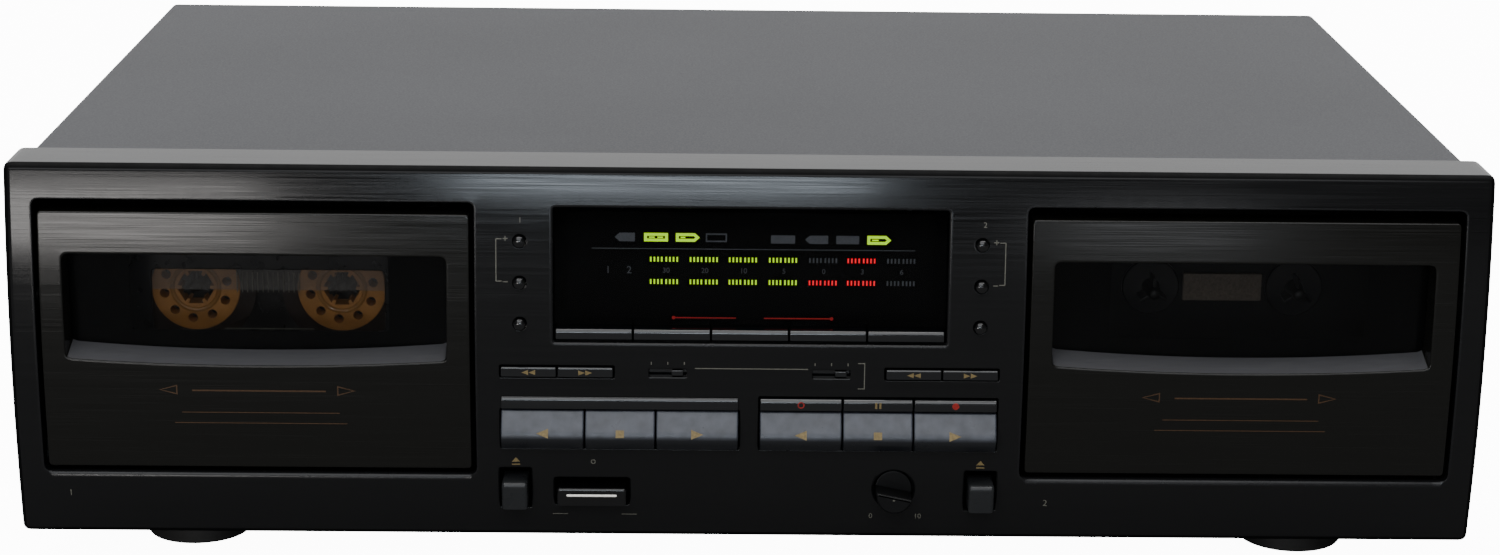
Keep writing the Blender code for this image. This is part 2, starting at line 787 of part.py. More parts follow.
def make_mains_inlet(material):
    """The two-pin inlet: a body through the rear panel, a flange and a socket."""
    half_width, half_tall = INLET_WIDTH / 2, INLET_TALL / 2
    body = block(
        "mains_inlet",
        (INLET_X - half_width, REAR_FACE - INLET_BODY_DEPTH, INLET_HEIGHT - half_tall),
        (INLET_X + half_width, REAR_FACE + INLET_FLANGE_THICK, INLET_HEIGHT + half_tall),
    )
    flange = block(
        "inlet_flange",
        (
            INLET_X - half_width - INLET_FLANGE,
            REAR_FACE + SEAT_GAP,
            INLET_HEIGHT - half_tall - INLET_FLANGE,
        ),
        (
            INLET_X + half_width + INLET_FLANGE,
            REAR_FACE + SEAT_GAP + INLET_FLANGE_THICK,
            INLET_HEIGHT + half_tall + INLET_FLANGE,
        ),
    )
    half_socket = INLET_SOCKET_TALL / 2
    middle = INLET_SOCKET_WIDTH / 2 - half_socket
    outline = [
        *arc((INLET_X + middle, INLET_HEIGHT), half_socket, -math.pi / 2, math.pi / 2, 6),
        *arc((INLET_X - middle, INLET_HEIGHT), half_socket, math.pi / 2, 3 * math.pi / 2, 6),
    ]
    socket_front = REAR_FACE + INLET_FLANGE_THICK - INLET_SOCKET_DEPTH
    socket_back = REAR_FACE + INLET_FLANGE_THICK + OVERRUN
    socket = front_prism("inlet_socket", outline, socket_front, socket_back)
    place("mains_inlet", cut(joined(body, flange), socket), material)


def make_feet(material):
    """Four round feet under the chassis."""
    places = {
        "foot_front_left": (-FOOT_X, FOOT_FRONT_SETBACK),
        "foot_front_right": (FOOT_X, FOOT_FRONT_SETBACK),
        "foot_rear_left": (-FOOT_X, FOOT_REAR_SETBACK),
        "foot_rear_right": (FOOT_X, FOOT_REAR_SETBACK),
    }
    for name, centre in places.items():
        profile = [
            (FOOT_RADIUS - FOOT_TAPER, -FOOT_HEIGHT),
            (FOOT_RADIUS, FOOT_TAPER - FOOT_HEIGHT),
            (FOOT_RADIUS, 0),
        ]
        place(name, turned(name, profile, centre, FINE_SIDES, "Z"), material, True)


def make_main_board(material):
    """The board with its posts, heat sink and large capacitors."""
    top = MAIN_BOARD_LOW + BOARD_THICK
    board = block(
        "main_board",
        (MAIN_BOARD_LEFT, MAIN_BOARD_FRONT, MAIN_BOARD_LOW),
        (MAIN_BOARD_RIGHT, MAIN_BOARD_BACK, top),
    )
    posts = []
    for x in (MAIN_BOARD_LEFT + POST_INSET, MAIN_BOARD_RIGHT - POST_INSET):
        for y in (MAIN_BOARD_FRONT + POST_INSET, MAIN_BOARD_BACK - POST_INSET):
            ends = [
                (POST_RADIUS, CHASSIS_TOP + SEAT_GAP),
                (POST_RADIUS, MAIN_BOARD_LOW + BOARD_THICK / 2),
            ]
            posts.append(turned("post", ends, (x, y), ROUND_SIDES, "Z"))
    width, depth, height = HEAT_SINK_SIZE
    sink_front = (MAIN_BOARD_FRONT + MAIN_BOARD_BACK) / 2
    seat = MAIN_BOARD_LOW + BOARD_THICK / 2
    parts = [
        block(
            "heat_sink",
            (HEAT_SINK_X - width / 2, sink_front, seat),
            (HEAT_SINK_X + width / 2, sink_front + depth, top + height),
        )
    ]
    for i in range(CAPACITORS):
        x = HEAT_SINK_X - width - i * CAPACITOR_PITCH
        ends = [(CAPACITOR_RADIUS, seat), (CAPACITOR_RADIUS, top + CAPACITOR_HEIGHT)]
        parts.append(turned("capacitor", ends, (x, sink_front + depth), ROUND_SIDES, "Z"))
    mesh = joined(board, grouped("posts", posts), grouped("parts", parts))
    place("main_board", mesh, material)


def make_transformer(material):
    """A laminated core with its winding and two fixing lugs."""
    base = CHASSIS_TOP + SEAT_GAP
    half, front = TRANSFORMER_WIDTH / 2, TRANSFORMER_BACK - TRANSFORMER_DEPTH
    core = block(
        "power_transformer",
        (TRANSFORMER_X - half, front, base),
        (TRANSFORMER_X + half, TRANSFORMER_BACK, base + TRANSFORMER_HEIGHT),
    )
    middle = base + TRANSFORMER_HEIGHT / 2
    coil = block(
        "winding",
        (TRANSFORMER_X - COIL_WIDTH / 2, front - COIL_PROUD, middle - COIL_HEIGHT / 2),
        (TRANSFORMER_X + COIL_WIDTH / 2, TRANSFORMER_BACK + COIL_PROUD, middle + COIL_HEIGHT / 2),
    )
    lug_middle = front + TRANSFORMER_DEPTH / 2
    lugs = block(
        "lugs",
        (TRANSFORMER_X - half - LUG_WIDTH, lug_middle - LUG_WIDTH / 2, base),
        (TRANSFORMER_X + half + LUG_WIDTH, lug_middle + LUG_WIDTH / 2, base + LUG_THICK),
    )
    place("power_transformer", joined(core, coil, lugs), material)


# Display


def make_display(glass, tube_material):
    """The window in the panel's opening, and the display on the control board."""
    half = DISPLAY_WIDTH / 2 - GLASS_GAP
    high = DISPLAY_HIGH - GLASS_GAP
    heights = steps_between(GLASS_LOW, high, ARC_STEPS // 2)
    front = [(face_line(z) + GLASS_SETBACK, z) for z in heights]
    back = [(y + GLASS_THICK, z) for y, z in front[::-1]]
    place("display_window", side_prism("display_window", front + back, -half, half), glass)
    board_half, tube_half = BOARD_WIDTH / 2, TUBE_WIDTH / 2
    board = block(
        "display_module",
        (-board_half, BOARD_FRONT, SKIN + SEAT_GAP),
        (board_half, BOARD_FRONT + BOARD_THICK, BOARD_TOP),
    )
    tube = block(
        "tube",
        (-tube_half, TUBE_FRONT, TUBE_LOW),
        (tube_half, BOARD_FRONT + BOARD_THICK / 2, TUBE_HIGH),
    )
    place("display_module", joined(board, tube), tube_material)


# Keys


def inner_face(low, high):
    """The rearmost inner skin between two heights, with running room."""
    return max(face_line(low), face_line(high)) + SKIN + RUN_GAP


def key_outline(nose, low, high, travel, flange_low, flange_high):
    """Side view of a push key: its nose, a retaining flange and a stem to the board."""
    back = inner_face(low, high)
    flange_back = back + FLANGE_THICK
    stem_end = BOARD_FRONT - travel - STEM_GAP
    middle, half_stem = (low + high) / 2, (high - low) * STEM_SHARE / 2
    lower = low - FLANGE_REACH if flange_low else low
    upper = high + FLANGE_REACH if flange_high else high
    outline = [(back, low), *nose, (back, high)]
    if flange_high:
        outline.append((back, upper))
    outline += [
        (flange_back, upper),
        (flange_back, middle + half_stem),
        (stem_end, middle + half_stem),
        (stem_end, middle - half_stem),
        (flange_back, middle - half_stem),
        (flange_back, lower),
    ]
    if flange_low:
        outline.append((back, lower))
    return outline


def push_key(name, outline, left, right, material):
    """One key that slides straight in, its origin at the middle of its nose."""
    piece = place(name, side_prism(name, outline, left, right), material)
    ys, zs = [p[0] for p in outline], [p[1] for p in outline]
    return pivot(piece, ((left + right) / 2, min(ys), (min(zs) + max(zs)) / 2))


def flat_nose(low, high, proud, radius=0.0):
    """A key's front that follows the face, with rounded corners if it has a radius."""
    bottom, top = face_line(low) - proud, face_line(high) - proud
    if not radius:
        return [(bottom, low), (top, high)]
    return [
        *arc((bottom + radius, low + radius), radius, -math.pi / 2, -math.pi, CORNER_STEPS),
        *arc((top + radius, high - radius), radius, math.pi, math.pi / 2, CORNER_STEPS),
    ]


def transport_nose():
    """A transport key's front: a face that leans back above a rounded chin."""
    return [
        (face_line(TRANSPORT_CHIN) - TRANSPORT_CHIN_PROUD, TRANSPORT_CHIN),
        (face_line(TRANSPORT_NOSE) - TRANSPORT_NOSE_PROUD, TRANSPORT_NOSE - RUN_GAP),
        (face_line(TRANSPORT_NOSE) - TRANSPORT_NOSE_PROUD, TRANSPORT_NOSE),
        (face_line(TRANSPORT_TOP) - TRANSPORT_TOP_PROUD, TRANSPORT_TOP),
    ]


def bank_edges(side):
    """The left and right limits of a deck's three transport keys, in reading order."""
    marks = (BANK_INNER, *BANK_SPLITS, BANK_OUTER)
    limits = []
    for inner, outer in zip(marks, marks[1:]):
        near = inner if inner == BANK_INNER else inner + RUN_GAP / 2
        far = outer if outer == BANK_OUTER else outer - RUN_GAP / 2
        limits.append(tuple(sorted((side * near, side * far))))
    return sorted(limits)


def make_transport_keys(material, strip_material):
    """Three keys for each deck, and the three narrow record keys of deck 2."""
    low, high = TRANSPORT_CHIN, TRANSPORT_TOP
    outline = key_outline(transport_nose(), low, high, TRANSPORT_TRAVEL, True, False)
    strip = key_outline(
        flat_nose(STRIP_LOW, STRIP_HIGH, STRIP_PROUD),
        STRIP_LOW,
        STRIP_HIGH,
        TRANSPORT_TRAVEL,
        False,
        True,
    )
    for deck, side in DECKS.items():
        names = ("reverse_play_key", "stop_key", "play_key")
        for name, (left, right) in zip(names, bank_edges(side)):
            push_key(f"{name}_{deck}", outline, left, right, material)
    names = ("record_mute_key", "pause_key", "record_key")
    for name, (left, right) in zip(names, bank_edges(DECKS["2"])):
        push_key(name, strip, left, right, strip_material)


def make_wind_keys(material):
    """A rewind and a forward key for each deck."""
    nose = flat_nose(WIND_LOW, WIND_HIGH, WIND_PROUD)
    outline = key_outline(nose, WIND_LOW, WIND_HIGH, WIND_TRAVEL, False, True)
    middle = (WIND_INNER + WIND_OUTER) / 2
    for deck, side in DECKS.items():
        inner = sorted((side * WIND_INNER, side * (middle - RUN_GAP / 2)))
        outer = sorted((side * (middle + RUN_GAP / 2), side * WIND_OUTER))
        names = ("rewind_key", "forward_key")
        for name, (left, right) in zip(names, sorted((inner, outer))):
            push_key(f"{name}_{deck}", outline, left, right, material)


def make_function_keys(material):
    """Five narrow keys along the bottom of the display opening."""
    nose = flat_nose(FUNCTION_LOW, FUNCTION_HIGH, FUNCTION_PROUD)
    outline = key_outline(nose, FUNCTION_LOW, FUNCTION_HIGH, FUNCTION_TRAVEL, True, False)
    half = DISPLAY_WIDTH / 2 - GLASS_GAP
    edges = steps_between(-half, half, FUNCTION_KEYS)
    for i, (left, right) in enumerate(zip(edges, edges[1:]), start=1):
        gap = RUN_GAP / 2
        push_key(f"function_key_{i}", outline, left + gap, right - gap, material)


def make_push_buttons(eject_material, power_material):
    """Two eject buttons and the power button."""
    nose = flat_nose(EJECT_LOW, EJECT_HIGH, EJECT_PROUD, EJECT_ROUND)
    outline = key_outline(nose, EJECT_LOW, EJECT_HIGH, EJECT_TRAVEL, True, False)
    for deck, side in DECKS.items():
        left, right = side * EJECT_X - EJECT_WIDTH / 2, side * EJECT_X + EJECT_WIDTH / 2
        push_key(f"eject_button_{deck}", outline, left, right, eject_material)
    nose = flat_nose(POWER_LOW, POWER_HIGH, POWER_PROUD, POWER_ROUND)
    outline = key_outline(nose, POWER_LOW, POWER_HIGH, POWER_TRAVEL, True, False)
    left, right = -POWER_X - POWER_WIDTH / 2, -POWER_X + POWER_WIDTH / 2
    push_key("power_button", outline, left, right, power_material)


def make_round_buttons(material):
    """Three small domed buttons beside the display for each deck."""
    names = ("search_up_button", "search_down_button", "auto_play_button")
    for deck, side in DECKS.items():
        for name, height in zip(names, PIN_HEIGHTS):
            front = face_line(height) - PIN_PROUD
            back = inner_face(height - PIN_FLANGE, height + PIN_FLANGE)
            profile = [
                (PIN_RADIUS / 2, front),
                (PIN_RADIUS, front + PIN_DOME),
                (PIN_RADIUS, back),
                (PIN_FLANGE, back),
                (PIN_FLANGE, back + FLANGE_THICK),
                (PIN_RADIUS, back + FLANGE_THICK),
                (PIN_RADIUS, BOARD_FRONT - PIN_TRAVEL - STEM_GAP),
            ]
            mesh = turned(f"{name}_{deck}", profile, (side * PIN_X, height), PIN_SIDES)
            piece = place(f"{name}_{deck}", mesh, material, True)
            pivot(piece, (side * PIN_X, front, height))


def make_slide_switches(material):
    """Two switches whose knobs slide along their slots."""
    middle = (SWITCH_LOW + SWITCH_HIGH) / 2
    names = {"noise_reduction_switch": -SWITCH_X, "reverse_mode_switch": SWITCH_X}
    back = inner_face(SWITCH_LOW, SWITCH_HIGH)
    for name, centre in names.items():
        x = centre + SWITCH_REST
        knob = block(
            name,
            (
                x - SWITCH_KNOB_WIDTH / 2,
                face_line(middle) - SWITCH_PROUD,
                middle - SWITCH_KNOB_HEIGHT / 2,
            ),
            (x + SWITCH_KNOB_WIDTH / 2, back + FLANGE_THICK / 2, middle + SWITCH_KNOB_HEIGHT / 2),
        )
        plate = block(
            "plate",
            (x - SWITCH_PLATE_WIDTH / 2, back, middle - SWITCH_PLATE_HEIGHT / 2),
            (x + SWITCH_PLATE_WIDTH / 2, back + FLANGE_THICK, middle + SWITCH_PLATE_HEIGHT / 2),
        )
        piece = place(name, joined(knob, plate), material)
        pivot(piece, (x, face_line(middle), middle))


def make_level_knob(material):
    """The record level knob: a set-back disc with a half-moon grip on its lower half."""
    centre = (KNOB_X, KNOB_HEIGHT)
    face = face_line(KNOB_HEIGHT)
    back = inner_face(KNOB_HEIGHT - KNOB_FLANGE_RADIUS, KNOB_HEIGHT + KNOB_FLANGE_RADIUS)
    disc_front = face - KNOB_BACK_PROUD
    profile = [
        (KNOB_RADIUS, disc_front),
        (KNOB_RADIUS, back),
        (KNOB_FLANGE_RADIUS, back),
        (KNOB_FLANGE_RADIUS, back + FLANGE_THICK),
        (KNOB_SHAFT_RADIUS, back + FLANGE_THICK),
        (KNOB_SHAFT_RADIUS, BOARD_FRONT - SEAT_GAP),
    ]
    disc = turned("record_level_knob", profile, centre, FINE_SIDES)
    half_moon = arc(centre, KNOB_RADIUS - SEAT_GAP / 2, -math.pi, 0, FINE_SIDES // 2)
    grip = front_prism("grip", half_moon, face - KNOB_GRIP_PROUD, disc_front + SKIN / 2)
    turned_about_y(grip, centre, KNOB_GRIP_TILT)
    piece = place("record_level_knob", joined(disc, grip), material, True)
    pivot(piece, (KNOB_X, face, KNOB_HEIGHT))


# Doors


def arched_row(centre, half, mid, end, y):
    """Points across a sagging edge, from left to right at one depth."""
    points = []
    for share in steps_between(-1, 1, LEDGE_STEPS):
        points.append((centre + share * half, y, mid + (end - mid) * share**2))
    return points


def recess_cutter(centre):
    """The window recess: rounded below, drafted, with the inclined ledge."""
    middle = face_line(WINDOW_HIGH)
    span = RECESS_BACK - middle
    ahead = OVERRUN * 2
    rings = []
    for distance in (-ahead, span, span + OVERRUN):
        share = min(distance, span) / span
        half = WINDOW_WIDTH / 2 - WINDOW_DRAFT * share
        mid = LEDGE_FRONT_MID + (LEDGE_BACK_MID - LEDGE_FRONT_MID) * share
        end = LEDGE_FRONT_END + (LEDGE_BACK_END - LEDGE_FRONT_END) * share
        y = middle + distance
        top = WINDOW_HIGH - WINDOW_DRAFT * share
        corners = [(centre + half, y, top), (centre - half, y, top)]
        rings.append(arched_row(centre, half, mid, end, y) + corners)
    return closed_mesh("recess", rings)


def make_door_panel(deck, centre, holder, material):
    """The door's moulding: a curved skin with a rim, and the window's recess."""
    half = OPENING_WIDTH / 2 - DOOR_SIDE_GAP
    low, high = OPENING_LOW + DOOR_FOOT_GAP, OPENING_HIGH - DOOR_HEAD_GAP
    heights = steps_between(low, high, ARC_STEPS)
    front = [(face_line(z), z) for z in heights]
    outline = [
        *front,
        (DOOR_RIM_BACK, high),
        (DOOR_RIM_BACK, DOOR_RIM_LOW),
        (face_line(DOOR_RIM_LOW) + SKIN, DOOR_RIM_LOW),
        (face_line(low) + SKIN, low + DOOR_FOOT_RISE),
    ]
    slab = side_prism("door_panel", outline, centre - half, centre + half)
    hollow = side_prism(
        "hollow",
        face_outline(DOOR_RIM_LOW - OVERRUN, high - SKIN, SKIN, DOOR_RIM_BACK + OVERRUN),
        centre - half + SKIN,
        centre + half - SKIN,
    )
    wall = WINDOW_WIDTH / 2 + SURROUND_WALL
    surround = block(
        "surround",
        (centre - wall, face_line(WINDOW_HIGH), LEDGE_FRONT_MID - SURROUND_WALL),
        (centre + wall, RECESS_BACK, WINDOW_HIGH + SURROUND_WALL),
    )
    mesh = cut(joined(cut(slab, hollow), surround), recess_cutter(centre))
    piece = place(f"door_panel_{deck}", mesh, material)
    carried(piece, holder, (centre, HINGE_BACK, HINGE_HEIGHT))


def make_door_window(deck, centre, holder, material):
    """The flat lens behind the recess, inside the door's rim."""
    half = WINDOW_WIDTH / 2 + LENS_MARGIN
    low, high = LEDGE_FRONT_MID - LENS_MARGIN, WINDOW_HIGH + LENS_MARGIN
    back = RECESS_BACK + SEAT_GAP + LENS_THICK
    mesh = block(
        "door_window",
        (centre - half, RECESS_BACK + SEAT_GAP, low),
        (centre + half, back, high),
    )
    piece = place(f"door_window_{deck}", mesh, material)
    carried(piece, holder, (centre, HINGE_BACK, HINGE_HEIGHT))


CASSETTE_BACK = CASSETTE_FRONT + CASSETTE_THICK
CASSETTE_MIDDLE = CASSETTE_FRONT + CASSETTE_THICK / 2
THROAT_BACK = CASSETTE_MIDDLE + THROAT_THICK / 2
THROAT_FRONT = CASSETTE_MIDDLE - THROAT_THICK / 2
HOLDER_FRONT = DOOR_RIM_BACK + SEAT_GAP
HOLDER_BACK = THROAT_BACK + SEAT_GAP
HOLDER_INNER = CASSETTE_WIDTH / 2 + CASSETTE_SLACK


def holder_side(centre, side):
    """One side plate of the holder, with its arm down to the pivot eye."""
    inner = centre + side * HOLDER_INNER
    outer = inner + side * HOLDER_SHEET
    rest_low = CASSETTE_LOW - SEAT_GAP - REST_DEPTH
    eye = (HINGE_BACK, HINGE_HEIGHT)
    outline = [
        *arc(eye, EYE_RADIUS, -math.pi, 0, CORNER_STEPS * 2),
        (ARM_BACK, ARM_BACK_HEIGHT),
        (HOLDER_BACK, rest_low),
        (HOLDER_BACK, HOLDER_MOUTH),
        (HOLDER_FRONT, HOLDER_MOUTH),
        (HOLDER_FRONT, rest_low),
        (HINGE_BACK - EYE_RADIUS, ARM_BACK_HEIGHT),
    ]
    plate = side_prism("holder_side", outline, *sorted((inner, outer)))
    ends = sorted((inner - side * OVERRUN, outer + side * OVERRUN))
    bore = turned("bore", [(EYE_BORE, end) for end in ends], eye, ROUND_SIDES, "X")
    return cut(plate, bore)


def make_cassette_holder(deck, centre, holder, material):
    """The frame that the cassette drops into: two side plates, a front frame,
    guide lips before and behind the cassette, and the rests under it."""
    frame_half = HOLDER_FRAME_WIDTH / 2
    lap = HOLDER_SHEET / 2
    frame = block(
        "frame",
        (centre - frame_half, HOLDER_FRONT, DOOR_RIM_LOW),
        (centre + frame_half, HOLDER_FRONT + HOLDER_SHEET, HOLDER_MOUTH),
    )
    sight = block(
        "sight",
        (centre - HOLDER_INNER + GUIDE_LIP, HOLDER_FRONT - OVERRUN, LEDGE_FRONT_MID - OVERRUN),
        (
            centre + HOLDER_INNER - GUIDE_LIP,
            HOLDER_FRONT + HOLDER_SHEET + OVERRUN,
            WINDOW_HIGH + OVERRUN,
        ),
    )
    mesh = cut(frame, sight)
    additions = []
    for side in (-1, 1):
        mesh = joined(mesh, holder_side(centre, side))
        root = centre + side * (HOLDER_INNER + lap)
        tip = centre + side * (HOLDER_INNER - GUIDE_LIP)
        left, right = sorted((root, tip))
        front = CASSETTE_FRONT - SEAT_GAP
        additions.append(
            block("lip", (left, front - HOLDER_SHEET, GUIDE_LIP_LOW), (right, front, HOLDER_MOUTH - lap))
        )
        additions.append(
            block(
                "lip",
                (left, CASSETTE_BACK + SEAT_GAP, GUIDE_LIP_LOW),
                (right, CASSETTE_BACK + SEAT_GAP + HOLDER_SHEET, HOLDER_MOUTH - lap),
            )
        )
        left, right = sorted((root, centre + side * (HOLDER_INNER - REST_WIDTH)))
        rest_top = CASSETTE_LOW - SEAT_GAP
        additions.append(
            block(
                "rest",
                (left, THROAT_FRONT, rest_top - REST_DEPTH),
                (right, HOLDER_BACK - lap, rest_top),
            )
        )
    mesh = joined(mesh, grouped("additions", additions))
    piece = place(f"cassette_holder_{deck}", mesh, material)
    carried(piece, holder, (centre, HINGE_BACK, HINGE_HEIGHT))


def make_cassette(centre, holder, shell_material, reel_material):
    """The cassette in deck 1: a hollow shell with its window, and two toothed reels."""
    half = CASSETTE_WIDTH / 2
    body = block(
        "cassette_shell",
        (centre - half, CASSETTE_FRONT, CASSETTE_LOW),
        (centre + half, CASSETTE_BACK, CASSETTE_TOP),
    )
    low, high = CASSETTE_LOW + CASSETTE_WALL / 4, CASSETTE_LOW + THROAT_HEIGHT
    throat = front_prism(
        "throat",
        [
            (centre - THROAT_LOW_WIDTH / 2, low),
            (centre + THROAT_LOW_WIDTH / 2, low),
            (centre + THROAT_HIGH_WIDTH / 2, high),
            (centre - THROAT_HIGH_WIDTH / 2, high),
        ],
        THROAT_FRONT,
        THROAT_BACK,
    )
    reach = HUB_SPACING / 2 + REEL_PACK_RADIUS + POCKET_MARGIN
    pocket = block(
        "pocket",
        (
            centre - reach,
            CASSETTE_FRONT + CASSETTE_WALL,
            HUB_HEIGHT - REEL_PACK_RADIUS - POCKET_MARGIN,
        ),
        (
            centre + reach,
            CASSETTE_BACK - CASSETTE_WALL,
            HUB_HEIGHT + REEL_PACK_RADIUS + POCKET_MARGIN,
        ),
    )
    window = block(
        "window",
        (centre - CASSETTE_WINDOW_WIDTH / 2, CASSETTE_FRONT - OVERRUN, CASSETTE_WINDOW_LOW),
        (centre + CASSETTE_WINDOW_WIDTH / 2, CASSETTE_MIDDLE, CASSETTE_WINDOW_HIGH),
    )
    mesh = cut(joined(body, throat), pocket, window)
    reel_front = CASSETTE_FRONT + CASSETTE_WALL + SEAT_GAP
    reel_back = CASSETTE_BACK - CASSETTE_WALL - SEAT_GAP
    for name, side in {"cassette_reel_left": -1, "cassette_reel_right": 1}.items():
        x = centre + side * HUB_SPACING / 2
        ends = [(SHELL_HUB_HOLE, CASSETTE_MIDDLE), (SHELL_HUB_HOLE, CASSETTE_BACK + OVERRUN)]
        mesh = cut(mesh, turned("hub_hole", ends, (x, HUB_HEIGHT), FINE_SIDES))
        profile = [
            (REEL_HUB_RADIUS, reel_front),
            (REEL_HUB_RADIUS, reel_front + REEL_HUB_RAISE),
            (REEL_PACK_RADIUS, reel_front + REEL_HUB_RAISE),
            (REEL_PACK_RADIUS, reel_back),
        ]
        reel = turned(name, profile, (x, HUB_HEIGHT), FINE_SIDES)
        bore = front_prism(
            "bore", toothed_outline(x), reel_front - OVERRUN, reel_back + OVERRUN
        )
        piece = place(name, cut(reel, bore), reel_material, True)
        offset = (x, CASSETTE_MIDDLE, HUB_HEIGHT)
        carried(piece, holder, offset)
        piece.location = Vector(offset) - Vector((centre, HINGE_BACK, HINGE_HEIGHT))
    piece = place("cassette_shell", mesh, shell_material)
    carried(piece, holder, (centre, HINGE_BACK, HINGE_HEIGHT))


def toothed_outline(x):
    """The reel's bore in front view: a circle with teeth that point inward."""
    points = []
    half = REEL_TOOTH_HALF / REEL_BORE
    tip_half = REEL_TOOTH_HALF / REEL_TOOTH_TIP
    for tooth in range(REEL_TEETH):
        middle = math.tau * tooth / REEL_TEETH
        following = middle + math.tau / REEL_TEETH
        for radius, angle in (
            (REEL_BORE, middle - half),
            (REEL_TOOTH_TIP, middle - tip_half),
            (REEL_TOOTH_TIP, middle + tip_half),
        ):
            points.append((x + radius * math.cos(angle), HUB_HEIGHT + radius * math.sin(angle)))
        points += arc((x, HUB_HEIGHT), REEL_BORE, middle + half, following - half, 3)[:-1]
    return points


# Transports


def make_transport_plate(deck, centre, material):
    """The upright plate with its foot, pivot arms and pins, head block and motor."""
    half = PLATE_WIDTH / 2
    back = PLATE_FRONT + PLATE_THICK
    base = CHASSIS_TOP + SEAT_GAP
    outline = [
        (PLATE_FRONT, base),
        (PLATE_FRONT + PLATE_FOOT_DEPTH, base),
        (PLATE_FRONT + PLATE_FOOT_DEPTH, base + PLATE_THICK),
        (back, base + PLATE_THICK),
        (back, PLATE_HIGH),
        (PLATE_FRONT, PLATE_HIGH),
    ]
    mesh = side_prism("transport_plate", outline, centre - half, centre + half)
    holes = []
    for side in (-1, 1):
        x = centre + side * HUB_SPACING / 2
        ends = [(SPINDLE_HOLE, PLATE_FRONT - OVERRUN), (SPINDLE_HOLE, back + OVERRUN)]
        holes.append(turned("hole", ends, (x, HUB_HEIGHT), ROUND_SIDES))
    ends = [(CAPSTAN_HOLE, PLATE_FRONT - OVERRUN), (CAPSTAN_HOLE, back + OVERRUN)]
    holes.append(turned("hole", ends, (centre + CAPSTAN_OFFSET, CAPSTAN_HEIGHT), ROUND_SIDES))
    mesh = cut(mesh, grouped("holes", holes))
    additions = [
        block(
            "head_block",
            (centre - HEAD_BLOCK_WIDTH / 2, HEAD_BLOCK_FRONT, HEAD_BLOCK_LOW),
            (centre + HEAD_BLOCK_WIDTH / 2, PLATE_FRONT + PLATE_THICK / 2, HEAD_BLOCK_HIGH),
        ),
        turned(
            "motor",
            [(MOTOR_RADIUS, PLATE_FRONT + PLATE_THICK / 2), (MOTOR_RADIUS, back + MOTOR_LENGTH)],
            (centre - MOTOR_OFFSET, MOTOR_HEIGHT),
            FINE_SIDES,
        ),
        block(
            "mirror_patch",
            (
                centre - MIRROR_PATCH_WIDTH / 2,
                PLATE_FRONT - MIRROR_PATCH_RAISE,
                HUB_HEIGHT - MIRROR_PATCH_HEIGHT / 2,
            ),
            (
                centre + MIRROR_PATCH_WIDTH / 2,
                PLATE_FRONT + PLATE_THICK / 2,
                HUB_HEIGHT + MIRROR_PATCH_HEIGHT / 2,
            ),
        ),
    ]
    for side in (-1, 1):
        root, tip = centre + side * half, centre + side * (half - PIVOT_ARM_THICK)
        left, right = sorted((root, tip))
        additions.append(
            block(
                "pivot_arm",
                (left, HINGE_BACK - EYE_RADIUS, PIVOT_ARM_LOW),
                (right, PLATE_FRONT + PLATE_THICK / 2, PIVOT_ARM_HIGH),
            )
        )
    mesh = joined(mesh, grouped("additions", additions))
    pins = []
    for side in (-1, 1):
        start = centre + side * (half - PIVOT_ARM_THICK / 2)
        end = centre + side * (HOLDER_INNER - SEAT_GAP)
        ends = [(PIVOT_PIN_RADIUS, x) for x in sorted((start, end))]
        pins.append(turned("pin", ends, (HINGE_BACK, HINGE_HEIGHT), ROUND_SIDES, "X"))
    mesh = joined(mesh, grouped("pins", pins))
    place(f"transport_plate_{deck}", mesh, material)


def make_spindle(name, x, material):
    """A reel spindle: table, tapered post, three drive fins and its shaft."""
    table_back = PLATE_FRONT - SEAT_GAP
    table_front = table_back - SPINDLE_TABLE_THICK
    tip = CASSETTE_FRONT + CASSETTE_WALL + SEAT_GAP + SPINDLE_TIP_SETBACK
    profile = [
        (SPINDLE_TIP_RADIUS / 2, tip),
        (SPINDLE_TIP_RADIUS, tip + SPINDLE_TIP_RADIUS / 2),
        (SPINDLE_BASE_RADIUS, table_front),
        (SPINDLE_TABLE_RADIUS, table_front),
        (SPINDLE_TABLE_RADIUS, table_back),
        (SPINDLE_SHAFT_RADIUS, table_back),
        (SPINDLE_SHAFT_RADIUS, PLATE_FRONT + PLATE_THICK + SPINDLE_SHAFT_TAIL),
    ]
    mesh = turned(name, profile, (x, HUB_HEIGHT), ROUND_SIDES)
    fin_tip = CASSETTE_BACK - CASSETTE_WALL - SEAT_GAP - FIN_ENGAGE
    fins = []
    for i in range(FINS):
        fin = block(
            "fin",
            (x + SPINDLE_TIP_RADIUS / 2, fin_tip, HUB_HEIGHT - FIN_THICK / 2),
            (x + FIN_REACH, table_front + SPINDLE_TABLE_THICK / 2, HUB_HEIGHT + FIN_THICK / 2),
        )
        angle = math.tau * (i + 0.25) / FINS
        fins.append(turned_about_y(fin, (x, HUB_HEIGHT), angle))
    piece = place(name, joined(mesh, *fins), material, True)
    pivot(piece, (x, table_front, HUB_HEIGHT))


def make_flywheel(deck, centre, material):
    """The capstan with the flywheel on its rear end."""
    x = centre + CAPSTAN_OFFSET
    rim = PLATE_FRONT + PLATE_THICK + FLYWHEEL_GAP
    profile = [
        (CAPSTAN_RADIUS, CAPSTAN_FRONT),
        (CAPSTAN_RADIUS, rim),
        (FLYWHEEL_RADIUS, rim),
        (FLYWHEEL_RADIUS, rim + FLYWHEEL_THICK),
        (FLYWHEEL_HUB_RADIUS, rim + FLYWHEEL_THICK),
        (FLYWHEEL_HUB_RADIUS, rim + FLYWHEEL_THICK + FLYWHEEL_HUB_LENGTH),
    ]
    name = f"capstan_flywheel_{deck}"
    piece = place(name, turned(name, profile, (x, CAPSTAN_HEIGHT), FINE_SIDES), material, True)
    pivot(piece, (x, rim, CAPSTAN_HEIGHT))


